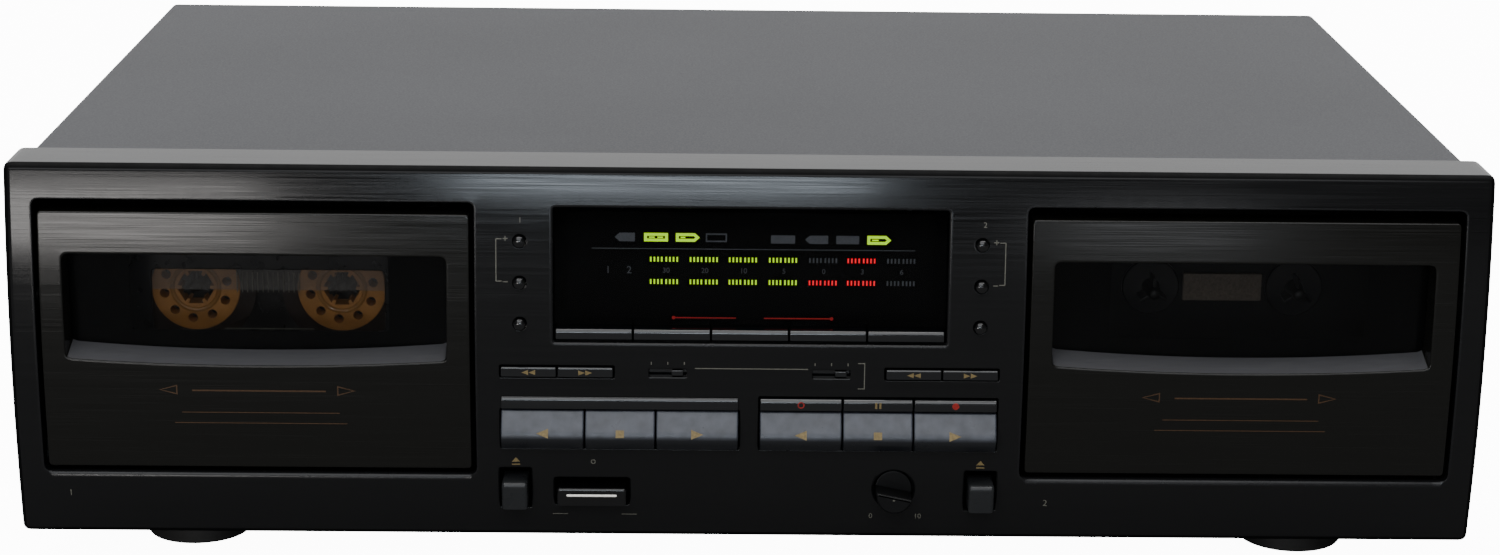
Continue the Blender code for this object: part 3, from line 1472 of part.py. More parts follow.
def main():
    """Builds the deck, from the case to the cassette."""
    black = finish("black_moulding", (0.012, 0.012, 0.014), 0.38)
    satin = finish("satin_door", (0.016, 0.015, 0.015), 0.32)
    cover = finish("charcoal_paint", (0.055, 0.056, 0.060), 0.50)
    steel = finish("zinc_steel", (0.52, 0.52, 0.50), 0.42, 0.9)
    rubber = finish("foot_black", (0.015, 0.015, 0.015), 0.65)
    dark_glass = finish("smoked_glass", (0.008, 0.008, 0.010), 0.08)
    key_grey = finish("key_grey", (0.060, 0.064, 0.075), 0.35)
    strip_grey = finish("strip_grey", (0.040, 0.042, 0.048), 0.30)
    button_black = finish("button_black", (0.02, 0.02, 0.022), 0.30)
    board_green = finish("board_green", (0.02, 0.10, 0.04), 0.55)
    core_steel = finish("transformer_steel", (0.25, 0.20, 0.14), 0.55, 0.4)
    smoked = finish("cassette_smoke", (0.05, 0.05, 0.05), 0.20)
    hub_orange = finish("reel_orange", (0.42, 0.20, 0.06), 0.40)
    nylon = finish("nylon_black", (0.02, 0.02, 0.02), 0.40)
    brass = finish("flywheel_brass", (0.55, 0.43, 0.22), 0.30, 1.0)

    make_front_panel(black)
    make_top_cover(cover)
    make_chassis_base(steel)
    make_rear_panel(cover)
    make_mains_inlet(rubber)
    make_feet(rubber)
    make_main_board(board_green)
    make_transformer(core_steel)
    make_display(dark_glass, board_green)
    make_transport_keys(key_grey, strip_grey)
    make_wind_keys(strip_grey)
    make_function_keys(strip_grey)
    make_push_buttons(key_grey, button_black)
    make_round_buttons(button_black)
    make_slide_switches(button_black)
    make_level_knob(button_black)
    for deck, side in DECKS.items():
        centre = side * DOOR_X
        make_transport_plate(deck, centre, steel)
        make_flywheel(deck, centre, brass)
        make_spindle(f"reel_spindle_{deck}_left", centre - HUB_SPACING / 2, nylon)
        make_spindle(f"reel_spindle_{deck}_right", centre + HUB_SPACING / 2, nylon)
        holder = empty(f"door_{deck}_axis", (centre, HINGE_BACK, HINGE_HEIGHT))
        holder.parent = DECK_FRAME
        make_door_panel(deck, centre, holder, satin)
        make_door_window(deck, centre, holder, dark_glass)
        make_cassette_holder(deck, centre, holder, nylon)
        if deck == "1":
            make_cassette(centre, holder, smoked, hub_orange)


for old in list(bpy.data.objects):
    bpy.data.objects.remove(old)
DECK_FRAME = empty("deck_frame", (0, EDGE_PLANE_Y, FOOT_HEIGHT))
main()
bpy.context.view_layer.update()
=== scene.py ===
import logging
import math
from collections.abc import Callable, Sequence
from dataclasses import dataclass, field
from enum import Enum

import bmesh
import bpy
import numpy as np
from mathutils import Matrix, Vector
from mathutils.geometry import delaunay_2d_cdt


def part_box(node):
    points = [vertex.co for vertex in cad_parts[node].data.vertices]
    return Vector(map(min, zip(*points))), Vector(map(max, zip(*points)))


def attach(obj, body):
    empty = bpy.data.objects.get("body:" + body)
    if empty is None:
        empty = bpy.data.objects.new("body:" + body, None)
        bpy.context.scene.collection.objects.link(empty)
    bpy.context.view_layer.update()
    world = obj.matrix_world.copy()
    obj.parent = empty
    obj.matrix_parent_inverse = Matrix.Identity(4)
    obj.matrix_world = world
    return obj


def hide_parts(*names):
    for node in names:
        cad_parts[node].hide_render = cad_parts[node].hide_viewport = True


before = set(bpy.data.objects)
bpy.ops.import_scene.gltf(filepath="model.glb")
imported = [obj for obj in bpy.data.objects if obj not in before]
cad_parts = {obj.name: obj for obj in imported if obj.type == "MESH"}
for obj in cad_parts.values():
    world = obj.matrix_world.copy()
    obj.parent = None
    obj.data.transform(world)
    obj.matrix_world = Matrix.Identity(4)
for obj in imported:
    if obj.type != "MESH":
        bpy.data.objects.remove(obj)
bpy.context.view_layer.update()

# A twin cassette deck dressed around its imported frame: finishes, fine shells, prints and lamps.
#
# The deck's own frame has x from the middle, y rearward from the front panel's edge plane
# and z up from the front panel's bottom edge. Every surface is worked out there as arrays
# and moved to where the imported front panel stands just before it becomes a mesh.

LOG = logging.getLogger("deck")
MM = 0.001
Array = np.ndarray
Lift = Callable[[Array], Array]

PANEL_LOW, PANEL_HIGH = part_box("front_panel")
PANEL_DEPTH = 18.0 * MM
PANEL_WIDTH = PANEL_HIGH.x - PANEL_LOW.x
PANEL_HEIGHT = PANEL_HIGH.z - PANEL_LOW.z
PANEL_SKIN = 2.5 * MM
FACE_SET = 0.7 * MM
EDGE_SUPPORT = 0.3 * MM
FACE_BULGE = PANEL_HIGH.y - PANEL_LOW.y - PANEL_DEPTH - FACE_SET
DECK_ORIGIN = np.array([0.0, PANEL_HIGH.y - PANEL_DEPTH, PANEL_LOW.z])


def deck_box(node: str) -> tuple[Array, Array]:
    """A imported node's lowest and highest corner in the deck's own frame.

    Args:
        node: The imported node's name.

    Returns:
        The two corners.
    """
    low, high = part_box(node)
    return np.array(low) - DECK_ORIGIN, np.array(high) - DECK_ORIGIN


def middle_of(node: str) -> Array:
    """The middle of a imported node's box in the deck's own frame."""
    low, high = deck_box(node)
    return (low + high) / 2


def mm(*values: float | Sequence[float]) -> Array:
    """Lengths, or points, that are given in millimetres, in metres."""
    return np.array(values) * MM


def face_y(height: Array) -> Array:
    """The front's y at a height: a shallow arc, deepest at the edges."""
    share = np.asarray(height) / (PANEL_HEIGHT / 2) - 1
    return -FACE_SET - FACE_BULGE * (1 - share**2)


def front_lift(flat: Array) -> Array:
    """The convex front's y over (x, z)."""
    return face_y(flat[:, 1])


def skin_lift(flat: Array) -> Array:
    """The y of the front's inner side over (x, z)."""
    return face_y(flat[:, 1]) + PANEL_SKIN


def level(y: float) -> Lift:
    """A flat surface at one y."""
    return lambda flat: np.full(len(flat), y)


class Deck(Enum):
    """The two transports, by number."""

    ONE = 1
    TWO = 2

    @property
    def side(self) -> int:
        """Minus one for the left deck, one for the right."""
        return -1 if self is Deck.ONE else 1


# Outlines


def circle(centre: Sequence[float], radius: float, count: int) -> Array:
    """Points round a circle, counterclockwise: the centre plus radius times (cos, sin)."""
    turn = np.linspace(0, math.tau, count, endpoint=False)
    return np.array(centre) + radius * np.stack([np.cos(turn), np.sin(turn)], axis=1)


def box_outline(low: Sequence[float], high: Sequence[float]) -> Array:
    """The four corners of an upright rectangle, counterclockwise."""
    return np.array([[low[0], low[1]], [high[0], low[1]], [high[0], high[1]], [low[0], high[1]]])


def softened(corners: Array, radius: float | Array, steps: int = 4) -> Array:
    """A polygon with each corner drawn as a parabola between points on its two sides.

    Args:
        corners: The sharp corners in order.
        radius: How far along each side the rounding starts, one value or one a corner.
        steps: Points along each rounding, less one.

    Returns:
        The rounded outline's points.
    """
    corners = np.asarray(corners, float)
    reach = np.broadcast_to(np.asarray(radius, float), len(corners))[:, None]
    before, after = np.roll(corners, 1, axis=0) - corners, np.roll(corners, -1, axis=0) - corners
    lengths = np.linalg.norm(before, axis=1)[:, None], np.linalg.norm(after, axis=1)[:, None]
    start = corners + before / lengths[0] * np.minimum(reach, lengths[0] * 0.45)
    end = corners + after / lengths[1] * np.minimum(reach, lengths[1] * 0.45)
    t = np.linspace(0, 1, steps + 1)[None, :, None]
    curve = start[:, None] * (1 - t) ** 2 + corners[:, None] * 2 * t * (1 - t) + end[:, None] * t**2
    return curve.reshape(-1, 2)


def subdivided(ring: Array, step: float) -> Array:
    """A closed outline with long sides cut into equal parts no longer than a step.

    Args:
        ring: The outline.
        step: The longest part.

    Returns:
        The outline with its new points.
    """
    along = np.roll(ring, -1, axis=0) - ring
    counts = np.maximum(1, np.ceil(np.linalg.norm(along, axis=1) / step)).astype(int)
    owner = np.repeat(np.arange(len(ring)), counts)
    place = np.arange(counts.sum()) - np.repeat(np.cumsum(counts) - counts, counts)
    share = place / np.repeat(counts, counts)
    return ring[owner] + along[owner] * share[:, None]


def outward(ring: Array) -> Array:
    """The mitred outward direction at each point of a counterclockwise outline.

    Args:
        ring: The outline.

    Returns:
        A direction for each point, longer at sharp corners.
    """
    along = np.roll(ring, -1, axis=0) - ring
    along = along / np.linalg.norm(along, axis=1)[:, None]
    normal = np.stack([along[:, 1], -along[:, 0]], axis=1)
    pair = normal + np.roll(normal, 1, axis=0)
    spread = 1 + np.einsum("ij,ij->i", normal, np.roll(normal, 1, axis=0))
    return pair / np.maximum(spread, 0.3)[:, None]


def inside(points: Array, ring: Array) -> Array:
    """Whether each point is in an outline, by counting the sides it looks across.

    Args:
        points: The points.
        ring: The outline.

    Returns:
        True for each point inside.
    """
    x, z = points[:, :1], points[:, 1:]
    x0, z0 = ring[:, 0], ring[:, 1]
    x1, z1 = np.roll(x0, -1), np.roll(z0, -1)
    spans = (z0 > z) != (z1 > z)
    rise = np.where(z1 == z0, 1, z1 - z0)
    crossing = x0 + (z - z0) * (x1 - x0) / rise
    return (np.sum(spans & (x < crossing), axis=1) % 2) == 1


def clearance(points: Array, ring: Array) -> Array:
    """Each point's distance to the nearest side of an outline.

    Args:
        points: The points.
        ring: The outline.

    Returns:
        The distances.
    """
    along = np.roll(ring, -1, axis=0) - ring
    reach = points[:, None] - ring[None]
    share = np.einsum("pij,ij->pi", reach, along) / np.einsum("ij,ij->i", along, along)
    gap = reach - np.clip(share, 0, 1)[..., None] * along[None]
    return np.linalg.norm(gap, axis=2).min(axis=1)


# Surfaces


@dataclass
class Shell:
    """One piece's surface, gathered as arrays of points and faces in the deck's frame."""

    name: str
    points: list[Array] = field(default_factory=list)
    faces: list[list[int]] = field(default_factory=list)
    slots: list[int] = field(default_factory=list)
    count: int = 0

    def add(self, points: Array, faces: list[list[int]], slot: int = 0) -> None:
        """Takes in points and the faces that index them.

        Args:
            points: The new points.
            faces: Faces that count from the first new point.
            slot: Which of the piece's finishes they take.
        """
        self.points.append(points)
        self.faces += [[i + self.count for i in face] for face in faces]
        self.slots += [slot] * len(faces)
        self.count += len(points)

    def strip(self, rings: Array, slot: int = 0, closed: bool = True) -> None:
        """A grid of quads along a stack of rings, its two parameters ring and place on it.

        Args:
            rings: Points as (ring, place, 3).
            slot: Which finish it takes.
            closed: Whether each ring's last point joins its first.
        """
        deep, wide = rings.shape[:2]
        index = np.arange(deep * wide).reshape(deep, wide)
        following = np.roll(index, -1, axis=1)
        if not closed:
            index, following = index[:, :-1], following[:, :-1]
        quads = np.stack([index[:-1], following[:-1], following[1:], index[1:]], axis=-1)
        self.add(rings.reshape(-1, 3), quads.reshape(-1, 4).tolist(), slot)

    def cap(self, ring: Array) -> None:
        """One flat face over a ring."""
        self.add(ring, [list(range(len(ring)))])

    def fill(self, outer: Array, holes: Sequence[Array], lift: Lift, spacing: float = 1.0) -> None:
        """Triangles between an outline and its holes, lifted onto a surface y = lift(x, z).

        Args:
            outer: The outline in (x, z).
            holes: Outlines of the holes.
            lift: The surface's y for an array of (x, z).
            spacing: The distance between rows of free points, which follow the curve. On a
                flat surface, none are needed, and a metre leaves none.
        """
        low, high = outer.min(axis=0), outer.max(axis=0)
        xs = np.arange(low[0] + spacing, high[0], spacing * 2.5)
        zs = np.arange(low[1] + spacing / 2, high[1], spacing)
        free = np.stack(np.meshgrid(xs, zs), axis=-1).reshape(-1, 2)
        keep = inside(free, outer) & (clearance(free, outer) > spacing * 0.25)
        for hole in holes:
            keep &= ~inside(free, hole) & (clearance(free, hole) > spacing * 0.25)
        rings = [outer, *holes]
        starts = np.cumsum([0, *map(len, rings)])
        edges = [
            (starts[k] + i, starts[k] + (i + 1) % len(ring))
            for k, ring in enumerate(rings)
            for i in range(len(ring))
        ]
        flat = np.concatenate([*rings, free[keep]])
        spread, _, triangles, *_ = delaunay_2d_cdt(flat.tolist(), edges, [], 0, 1e-9)
        flat = np.array(spread)
        triangles = np.array(triangles)
        middle = flat[triangles].mean(axis=1)
        solid = inside(middle, outer)
        for hole in holes:
            solid &= ~inside(middle, hole)
        points = np.stack([flat[:, 0], lift(flat), flat[:, 1]], axis=1)
        self.add(points, triangles[solid].tolist())

    def merge(self, other: "Shell") -> None:
        """Takes in another shell's surface, under this one's first finish."""
        self.add(np.concatenate(other.points), other.faces)

    def build(self, finishes: Sequence["Finish"], smooth: float) -> bpy.types.Object:
        """Makes the mesh, welds its seams and turns its faces outward.

        Args:
            finishes: The finishes its slots count through.
            smooth: Sides that meet at less than this angle, in degrees, are shaded as one.

        Returns:
            The finished object, which sits at the origin.
        """
        mesh = bpy.data.meshes.new(self.name)
        mesh.from_pydata((np.concatenate(self.points) + DECK_ORIGIN).tolist(), [], self.faces)
        for finish in finishes:
            mesh.materials.append(finish.material())
        mesh.polygons.foreach_set("material_index", self.slots)
        shape = bmesh.new()
        shape.from_mesh(mesh)
        bmesh.ops.remove_doubles(shape, verts=shape.verts, dist=2e-6)
        bmesh.ops.dissolve_degenerate(shape, edges=shape.edges, dist=1e-6)
        bmesh.ops.recalc_face_normals(shape, faces=shape.faces)
        shape.to_mesh(mesh)
        shape.free()
        mesh.shade_smooth()
        mesh.set_sharp_from_angle(angle=math.radians(smooth))
        piece = bpy.data.objects.new(self.name, mesh)
        bpy.context.scene.collection.objects.link(piece)
        even = piece.modifiers.new("even_shading", "WEIGHTED_NORMAL")
        even.keep_sharp = True
        return piece


def on_face(ring: Array, depth: Array | float = 0.0) -> Array:
    """An outline in (x, z) laid on the convex front, a depth behind it."""
    return np.stack([ring[:, 0], face_y(ring[:, 1]) + depth, ring[:, 1]], axis=1)


def at_depth(ring: Array, y: Array | float) -> Array:
    """An outline in (x, z) at one y, or at one y for each point."""
    return np.stack([ring[:, 0], np.broadcast_to(y, len(ring)), ring[:, 1]], axis=1)


def edge_rings(
    ring: Array, in_plane: Array | float, depth: Array | float, steps: int, lift: Lift | None = None
) -> Array:
    """A quarter-round edge: out from the ring by radius (1 - sin a), back by radius (1 - cos a).

    Args:
        ring: The outline at the foot of the rounding.
        in_plane: The rounding's reach across the face; negative for an outside edge.
        depth: The rounding's reach into the piece.
        steps: Rings along it, less one.
        lift: The face's y for an array of (x, z); the convex front if none is given.

    Returns:
        The rings from the face inward; on the convex front, a first one on the face
        beside the rounding keeps the face's shading true up to it.
    """
    away = outward(ring)
    start = ring + away * np.broadcast_to(in_plane, len(ring))[:, None]
    rings = []
    if lift is None:
        beyond = np.sign(np.broadcast_to(in_plane, len(ring)))[:, None] * EDGE_SUPPORT
        rings.append(on_face(start + away * beyond))
    base = (lift or front_lift)(start)
    for a in np.linspace(0, math.pi / 2, steps + 1):
        flat = ring + away * (np.broadcast_to(in_plane, len(ring)) * (1 - math.sin(a)))[:, None]
        rings.append(at_depth(flat, base + np.broadcast_to(depth, len(ring)) * (1 - math.cos(a))))
    return np.array(rings)


def prism(name: str, outline: Array, left: float, right: float, edge: float, steps: int = 3) -> Shell:
    """A (y, z) outline carried along x, its two ends rounded over by an edge radius.

    Args:
        name: The piece's name.
        outline: The side view's points, counterclockwise in (y, z).
        left: The lower x.
        right: The upper x.
        edge: The radius of the rounded ends.
        steps: Rings along each rounding, less one.

    Returns:
        The closed surface.
    """
    shell = Shell(name)
    away = outward(outline)
    turns = np.linspace(0, math.pi / 2, steps + 1)
    insets = [*(edge * (1 - np.sin(turns))), *(edge * (1 - np.sin(turns[::-1])))]
    xs = [*(left + edge * (1 - np.cos(turns))), *(right - edge * (1 - np.cos(turns[::-1])))]
    rings = [
        np.column_stack([np.full(len(outline), x), outline - away * inset])
        for x, inset in zip(xs, insets)
    ]
    shell.strip(np.array(rings))
    shell.cap(rings[0][::-1])
    shell.cap(rings[-1])
    return shell


def plate(
    name: str, outline: Array, front: float, back: float, edge: float = 0.0, steps: int = 3
) -> Shell:
    """An (x, z) outline carried along y from front to back, its front edge rounded over.

    Args:
        name: The piece's name.
        outline: The outline.
        front: The y of its front.
        back: The y of its back.
        edge: The radius of its front edge.
        steps: Rings along the rounding, less one.

    Returns:
        The closed surface.
    """
    shell = Shell(name)
    rings = at_depth(outline, front)[None]
    if edge:
        rings = edge_rings(outline, -edge, edge, steps, level(front))
    rings = np.concatenate([rings, at_depth(outline, back)[None]])
    shell.strip(rings)
    shell.cap(rings[0])
    shell.cap(rings[-1][::-1])
    return shell


def turned(
    name: str, profile: Array, centre: Sequence[float], sides: int, upright: bool = False
) -> Shell:
    """A closed profile spun about an axis: the centre plus radius times (cos, sin).

    Args:
        name: The piece's name.
        profile: Points as (radius, place on the axis).
        centre: Where the axis is, in (x, z), or in (x, y) for an upright one.
        sides: Points round each ring.
        upright: Whether the axis is along z, and not along y.

    Returns:
        The closed surface.
    """
    turn = np.linspace(0, math.tau, sides, endpoint=False)
    radius, along = np.asarray(profile, float).T[:, :, None]
    across, over = centre[0] + radius * np.cos(turn), centre[1] + radius * np.sin(turn)
    along = np.broadcast_to(along, across.shape)
    shell = Shell(name)
    shell.strip(np.stack([across, over, along] if upright else [across, along, over], axis=-1))
    return shell


# Finishes


class Recipe:
    """A material's nodes, with short ways to add what the finishes need."""

    def __init__(self, name: str) -> None:
        """Starts a material whose patterns read Object coordinates."""
        self.made = bpy.data.materials.new(name)
        self.made.use_nodes = True
        self.tree = self.made.node_tree
        self.shader = self.tree.nodes["Principled BSDF"]
        self.coords = self.node("TexCoord").outputs["Object"]

    def set(self, **values: float | tuple[float, ...]) -> None:
        """Constant values on the shader's own sockets, their names written with underscores."""
        self.fix(self.shader, values)

    def fix(self, node: bpy.types.Node, values: dict[str, float | Sequence[float]]) -> None:
        """Constant values on a node's sockets."""
        for name, value in values.items():
            node.inputs[name.replace("_", " ")].default_value = value

    def node(self, kind: str, **values: float | Sequence[float]) -> bpy.types.Node:
        """A new node, with constant values on its sockets."""
        node = self.tree.nodes.new(f"ShaderNode{kind}")
        self.fix(node, values)
        return node

    def link(self, source: bpy.types.NodeSocket, target: bpy.types.NodeSocket) -> None:
        """Joins an output to an input."""
        self.tree.links.new(source, target)

    def noise(
        self, scale: float, stretch: tuple[float, float, float] = (1, 1, 1), detail: float = 3.0
    ) -> bpy.types.NodeSocket:
        """Cloud noise in the piece's own metres, finer along the axes with more stretch.

        Args:
            scale: The noise's fineness.
            stretch: How much finer along each axis.
            detail: How many finer layers it has.

        Returns:
            The noise, from 0 to 1.
        """
        mapping = self.node("Mapping", Scale=stretch)
        noise = self.node("TexNoise", Scale=scale, Detail=detail)
        self.link(self.coords, mapping.inputs["Vector"])
        self.link(mapping.outputs["Vector"], noise.inputs["Vector"])
        return noise.outputs["Fac"]

    def ranged(
        self, source: bpy.types.NodeSocket, low: float, high: float,
        start: float = 0.3, end: float = 0.7,
    ) -> bpy.types.NodeSocket:
        """Spreads start to end, by default a noise's middle range, over low to high.

        Args:
            source: The pattern.
            low: What start becomes.
            high: What end becomes.
            start: The lower end of the pattern.
            end: Its upper end.

        Returns:
            The spread pattern.
        """
        spread = self.node("MapRange", From_Min=start, From_Max=end, To_Min=low, To_Max=high)
        self.link(source, spread.inputs["Value"])
        return spread.outputs["Result"]

    def colour(
        self, source: bpy.types.NodeSocket, first: Sequence[float], second: Sequence[float]
    ) -> None:
        """Base colour between two tones, by a factor from 0 to 1."""
        mix = self.node("Mix")
        mix.data_type = "RGBA"
        for socket in mix.inputs:
            if socket.type == "RGBA" and socket.name in ("A", "B"):
                socket.default_value = (*(first if socket.name == "A" else second), 1)
        self.link(source, mix.inputs["Factor"])
        out = next(s for s in mix.outputs if s.type == "RGBA")
        self.link(out, self.shader.inputs["Base Color"])

    def paint_underside_shade(self, shade: Sequence[float], low: float, high: float) -> None:
        """Paints shade: turns the base colour to a darker shade on faces whose normal's height is under low
        to high.
        """
        earlier = self.shader.inputs["Base Color"].links[0].from_socket
        normal = self.node("NewGeometry").outputs["Normal"]
        self.colour(self.height(low, high, normal), shade, shade)
        mix = self.shader.inputs["Base Color"].links[0].from_node
        upper = next(s for s in mix.inputs if s.type == "RGBA" and s.name == "B")
        self.link(earlier, upper)

    def height(
        self, low: float, high: float, source: bpy.types.NodeSocket | None = None
    ) -> bpy.types.NodeSocket:
        """Rises from 0 to 1 between two heights, of the piece if no other source is given."""
        split = self.node("SeparateXYZ")
        self.link(source or self.coords, split.inputs["Vector"])
        return self.ranged(split.outputs["Z"], 0, 1, low, high)

    def rough(self, source: bpy.types.NodeSocket, low: float, high: float) -> None:
        """Roughness from a pattern, spread over low to high."""
        self.link(self.ranged(source, low, high), self.shader.inputs["Roughness"])

    def bump(self, source: bpy.types.NodeSocket, height: float, strength: float = 1.0) -> None:
        """Small relief of a height in metres, added over any relief given before."""
        bump = self.node("Bump", Distance=height, Strength=strength)
        self.link(source, bump.inputs["Height"])
        earlier = self.shader.inputs["Normal"].links
        if earlier:
            self.link(earlier[0].from_socket, bump.inputs["Normal"])
        self.link(bump.outputs["Normal"], self.shader.inputs["Normal"])


Colour = tuple[float, float, float]


@dataclass(frozen=True)
class Finish:
    """A surface finish. Each kind says in recipe() what its nodes are."""

    name: str
    colour: Colour

    def material(self) -> bpy.types.Material:
        """The finish's one material, made the first time that it is asked for."""
        return bpy.data.materials.get(self.name) or self.recipe().made

    def shade(self, share: float) -> Colour:
        """The colour, lighter or darker by a factor."""
        return tuple(min(1.0, c * share) for c in self.colour)

    def recipe(self) -> Recipe:
        """The nodes, which each kind of finish makes in its own way."""
        raise NotImplementedError


@dataclass(frozen=True)
class Moulded(Finish):
    """Moulded plastic: satin, with hairlines along x and a fine grain."""

    roughness: float = 0.35
    gloss: float = 0.3
    hairline: float = 0.0
    grain: float = 0.000004
    tone: float = 1.25
    cloud: float = 38.0

    def recipe(self) -> Recipe:
        """Hairlines are noise drawn out along x; the grain is fine and even."""
        recipe = Recipe(self.name)
        lines = recipe.noise(1.0, (25, 2500, 5200), 3)
        cloud = recipe.noise(self.cloud, detail=4)
        shade = recipe.ranged(lines if self.hairline else cloud, 0, 1)
        recipe.colour(shade, self.colour, self.shade(self.tone))
        spread = 0.05 + self.hairline * 0.12
        source = lines if self.hairline else recipe.noise(260.0)
        recipe.rough(source, self.roughness - spread, self.roughness + spread)
        recipe.set(Specular_IOR_Level=self.gloss)
        recipe.bump(recipe.noise(2400.0, detail=2), self.grain)
        if self.hairline:
            recipe.bump(lines, 0.00001 * self.hairline, 0.6)
        return recipe


@dataclass(frozen=True)
class UndersideShaded(Moulded):
    """Moulded plastic with painted shade: faces that turn down are darker than those that look up."""

    # The share of the colour left on faces that turn down: painted shade.
    underside_shade: float = 0.22

    def recipe(self) -> Recipe:
        """The moulded colour gives way to a painted shade where the surface turns down."""
        recipe = super().recipe()
        recipe.paint_underside_shade(self.shade(self.underside_shade), -0.1, 0.28)
        return recipe


@dataclass(frozen=True)
class Painted(Finish):
    """Stoved paint on steel sheet: fine orange peel and faint clouding."""

    roughness: float = 0.45
    peel: float = 0.00002
    gloss: float = 0.5

    def recipe(self) -> Recipe:
        """A pebbled coat, lighter where it is thin."""
        recipe = Recipe(self.name)
        pebble = recipe.noise(1700.0, detail=2)
        cloud = recipe.noise(9.0, detail=4)
        recipe.colour(recipe.ranged(cloud, 0, 1), self.colour, self.shade(1.16))
        recipe.rough(pebble, self.roughness - 0.06, self.roughness + 0.06)
        recipe.set(Specular_IOR_Level=self.gloss)
        recipe.bump(pebble, self.peel)
        recipe.bump(recipe.noise(22.0, detail=3), 0.00006, 0.25)
        return recipe


@dataclass(frozen=True)
class Metal(Finish):
    """Metal: rolled, turned or plated, with its tool marks along x."""

    roughness: float = 0.35
    marks: tuple[float, float, float] = (40, 900, 900)
    spangle: float = 0.0

    def recipe(self) -> Recipe:
        """Tool marks in gloss and relief, and zinc's spangle as patches of tone."""
        recipe = Recipe(self.name)
        lines = recipe.noise(1.0, self.marks, 3)
        patch = recipe.noise(180.0 if self.spangle else 30.0, detail=2)
        darker = self.shade(0.72 if self.spangle else 0.86)
        recipe.colour(recipe.ranged(patch, 0, 1), darker, self.colour)
        recipe.rough(lines, self.roughness - 0.1, self.roughness + 0.1)
        recipe.set(Metallic=1.0)
        recipe.bump(lines, 0.000005)
        return recipe


@dataclass(frozen=True)
class Rubber(Finish):
    """Dull rubber or nylon with a fine pitted skin."""

    roughness: float = 0.7

    def recipe(self) -> Recipe:
        """A pitted skin, with dusty patches spread by noise."""
        recipe = Recipe(self.name)
        pits = recipe.noise(1300.0, detail=3)
        dusty = tuple(c * 1.5 + 0.006 for c in self.colour)
        recipe.colour(recipe.ranged(recipe.noise(70.0), 0, 1), self.colour, dusty)
        recipe.rough(pits, self.roughness - 0.08, self.roughness + 0.08)
        recipe.bump(pits, 0.00003)
        return recipe


@dataclass(frozen=True)
class Clear(Finish):
    """Clear or smoked acrylic, thin enough that light goes straight through."""

    cover: float = 0.4
    roughness: float = 0.04
    gloss: float = 0.5

    def recipe(self) -> Recipe:
        """A tint that hides a share of what is behind, with faint wipe marks in its gloss."""
        recipe = Recipe(self.name)
        recipe.set(Base_Color=(*self.colour, 1), Alpha=self.cover, IOR=1.49)
        recipe.set(Specular_IOR_Level=self.gloss)
        wipes = recipe.noise(1.0, (30, 60, 400), 3)
        recipe.rough(wipes, self.roughness * 0.5, self.roughness * 1.8)
        return recipe


@dataclass(frozen=True)
class Veiled(Clear):
    """Clear plastic with a paler printed veil above a height."""

    veil: Colour = (0.30, 0.28, 0.26)
    veil_cover: float = 0.24
    height: float = 0.0

    def recipe(self) -> Recipe:
        """Tint and cover both step up across a tenth of a millimetre."""
        recipe = super().recipe()
        step = recipe.height(self.height, self.height + 0.0001)
        recipe.colour(step, self.colour, self.veil)
        share = recipe.ranged(step, self.cover, self.veil_cover, 0.0, 1.0)
        recipe.link(share, recipe.shader.inputs["Alpha"])
        return recipe


@dataclass(frozen=True)
class Ink(Finish):
    """Screen-printed ink, a little uneven where it is worn."""

    roughness: float = 0.5
    gloss: float = 0.3

    def recipe(self) -> Recipe:
        """Ink over plastic, thinner in small flecks."""
        recipe = Recipe(self.name)
        recipe.colour(recipe.ranged(recipe.noise(1500.0), 0, 1), self.shade(0.62), self.colour)
        recipe.set(Roughness=self.roughness, Specular_IOR_Level=self.gloss)
        return recipe


@dataclass(frozen=True)
class Lamp(Finish):
    """A glowing finish: a lit segment of the display, or a painted glow on a part that is no lamp."""

    strength: float = 3.0

    def recipe(self) -> Recipe:
        """Glowing phosphor, brighter in the middle of its grain."""
        recipe = Recipe(self.name)
        recipe.colour(recipe.ranged(recipe.noise(2500.0), 0, 1), self.shade(0.7), self.colour)
        recipe.set(Emission_Color=(*self.colour, 1), Emission_Strength=self.strength)
        recipe.set(Roughness=0.5)
        return recipe


@dataclass(frozen=True)
class Board(Finish):
    """Solder-masked circuit board with its copper tracks."""

    def recipe(self) -> Recipe:
        """Tracks are broad bands of noise cut at two levels, under glossy resist."""
        recipe = Recipe(self.name)
        tracks = recipe.noise(160.0, (0.5, 1.6, 1), 0)
        copper = recipe.ranged(tracks, 0.0, 1.0, 0.49, 0.51)
        recipe.colour(copper, self.colour, self.shade(1.9))
        recipe.rough(recipe.noise(300.0), 0.3, 0.5)
        recipe.bump(copper, 0.00004)
        return recipe


BEZEL = Moulded("bezel_moulding", (0.0062, 0.0062, 0.0064), 0.14, 0.30, hairline=0.3)
# Painted shade: a darker, duller finish on the bezel's outer rounding, for the dark line under the lip.
LIP_SHADE = Moulded("bezel_lip_painted_shade", (0.0016, 0.0016, 0.0017), 0.6, 0.08)
# Painted highlight: the bezel's moulding made lighter on the rims of the wide openings.
RIM_HIGHLIGHT = Moulded("opening_rim_painted_highlight", (0.0075, 0.0075, 0.008), 0.24, 0.32)
DOOR = Moulded("door_moulding", (0.0062, 0.0060, 0.0050), 0.18, 0.30, hairline=0.5)
# Painted light: the door moulding made many times lighter on the recess's ledge, which faces up to the
# lamps.
LEDGE_PAINTED_LIGHT = Moulded("ledge_painted_light", (0.056, 0.056, 0.060), 0.40, 0.30, hairline=0.3)
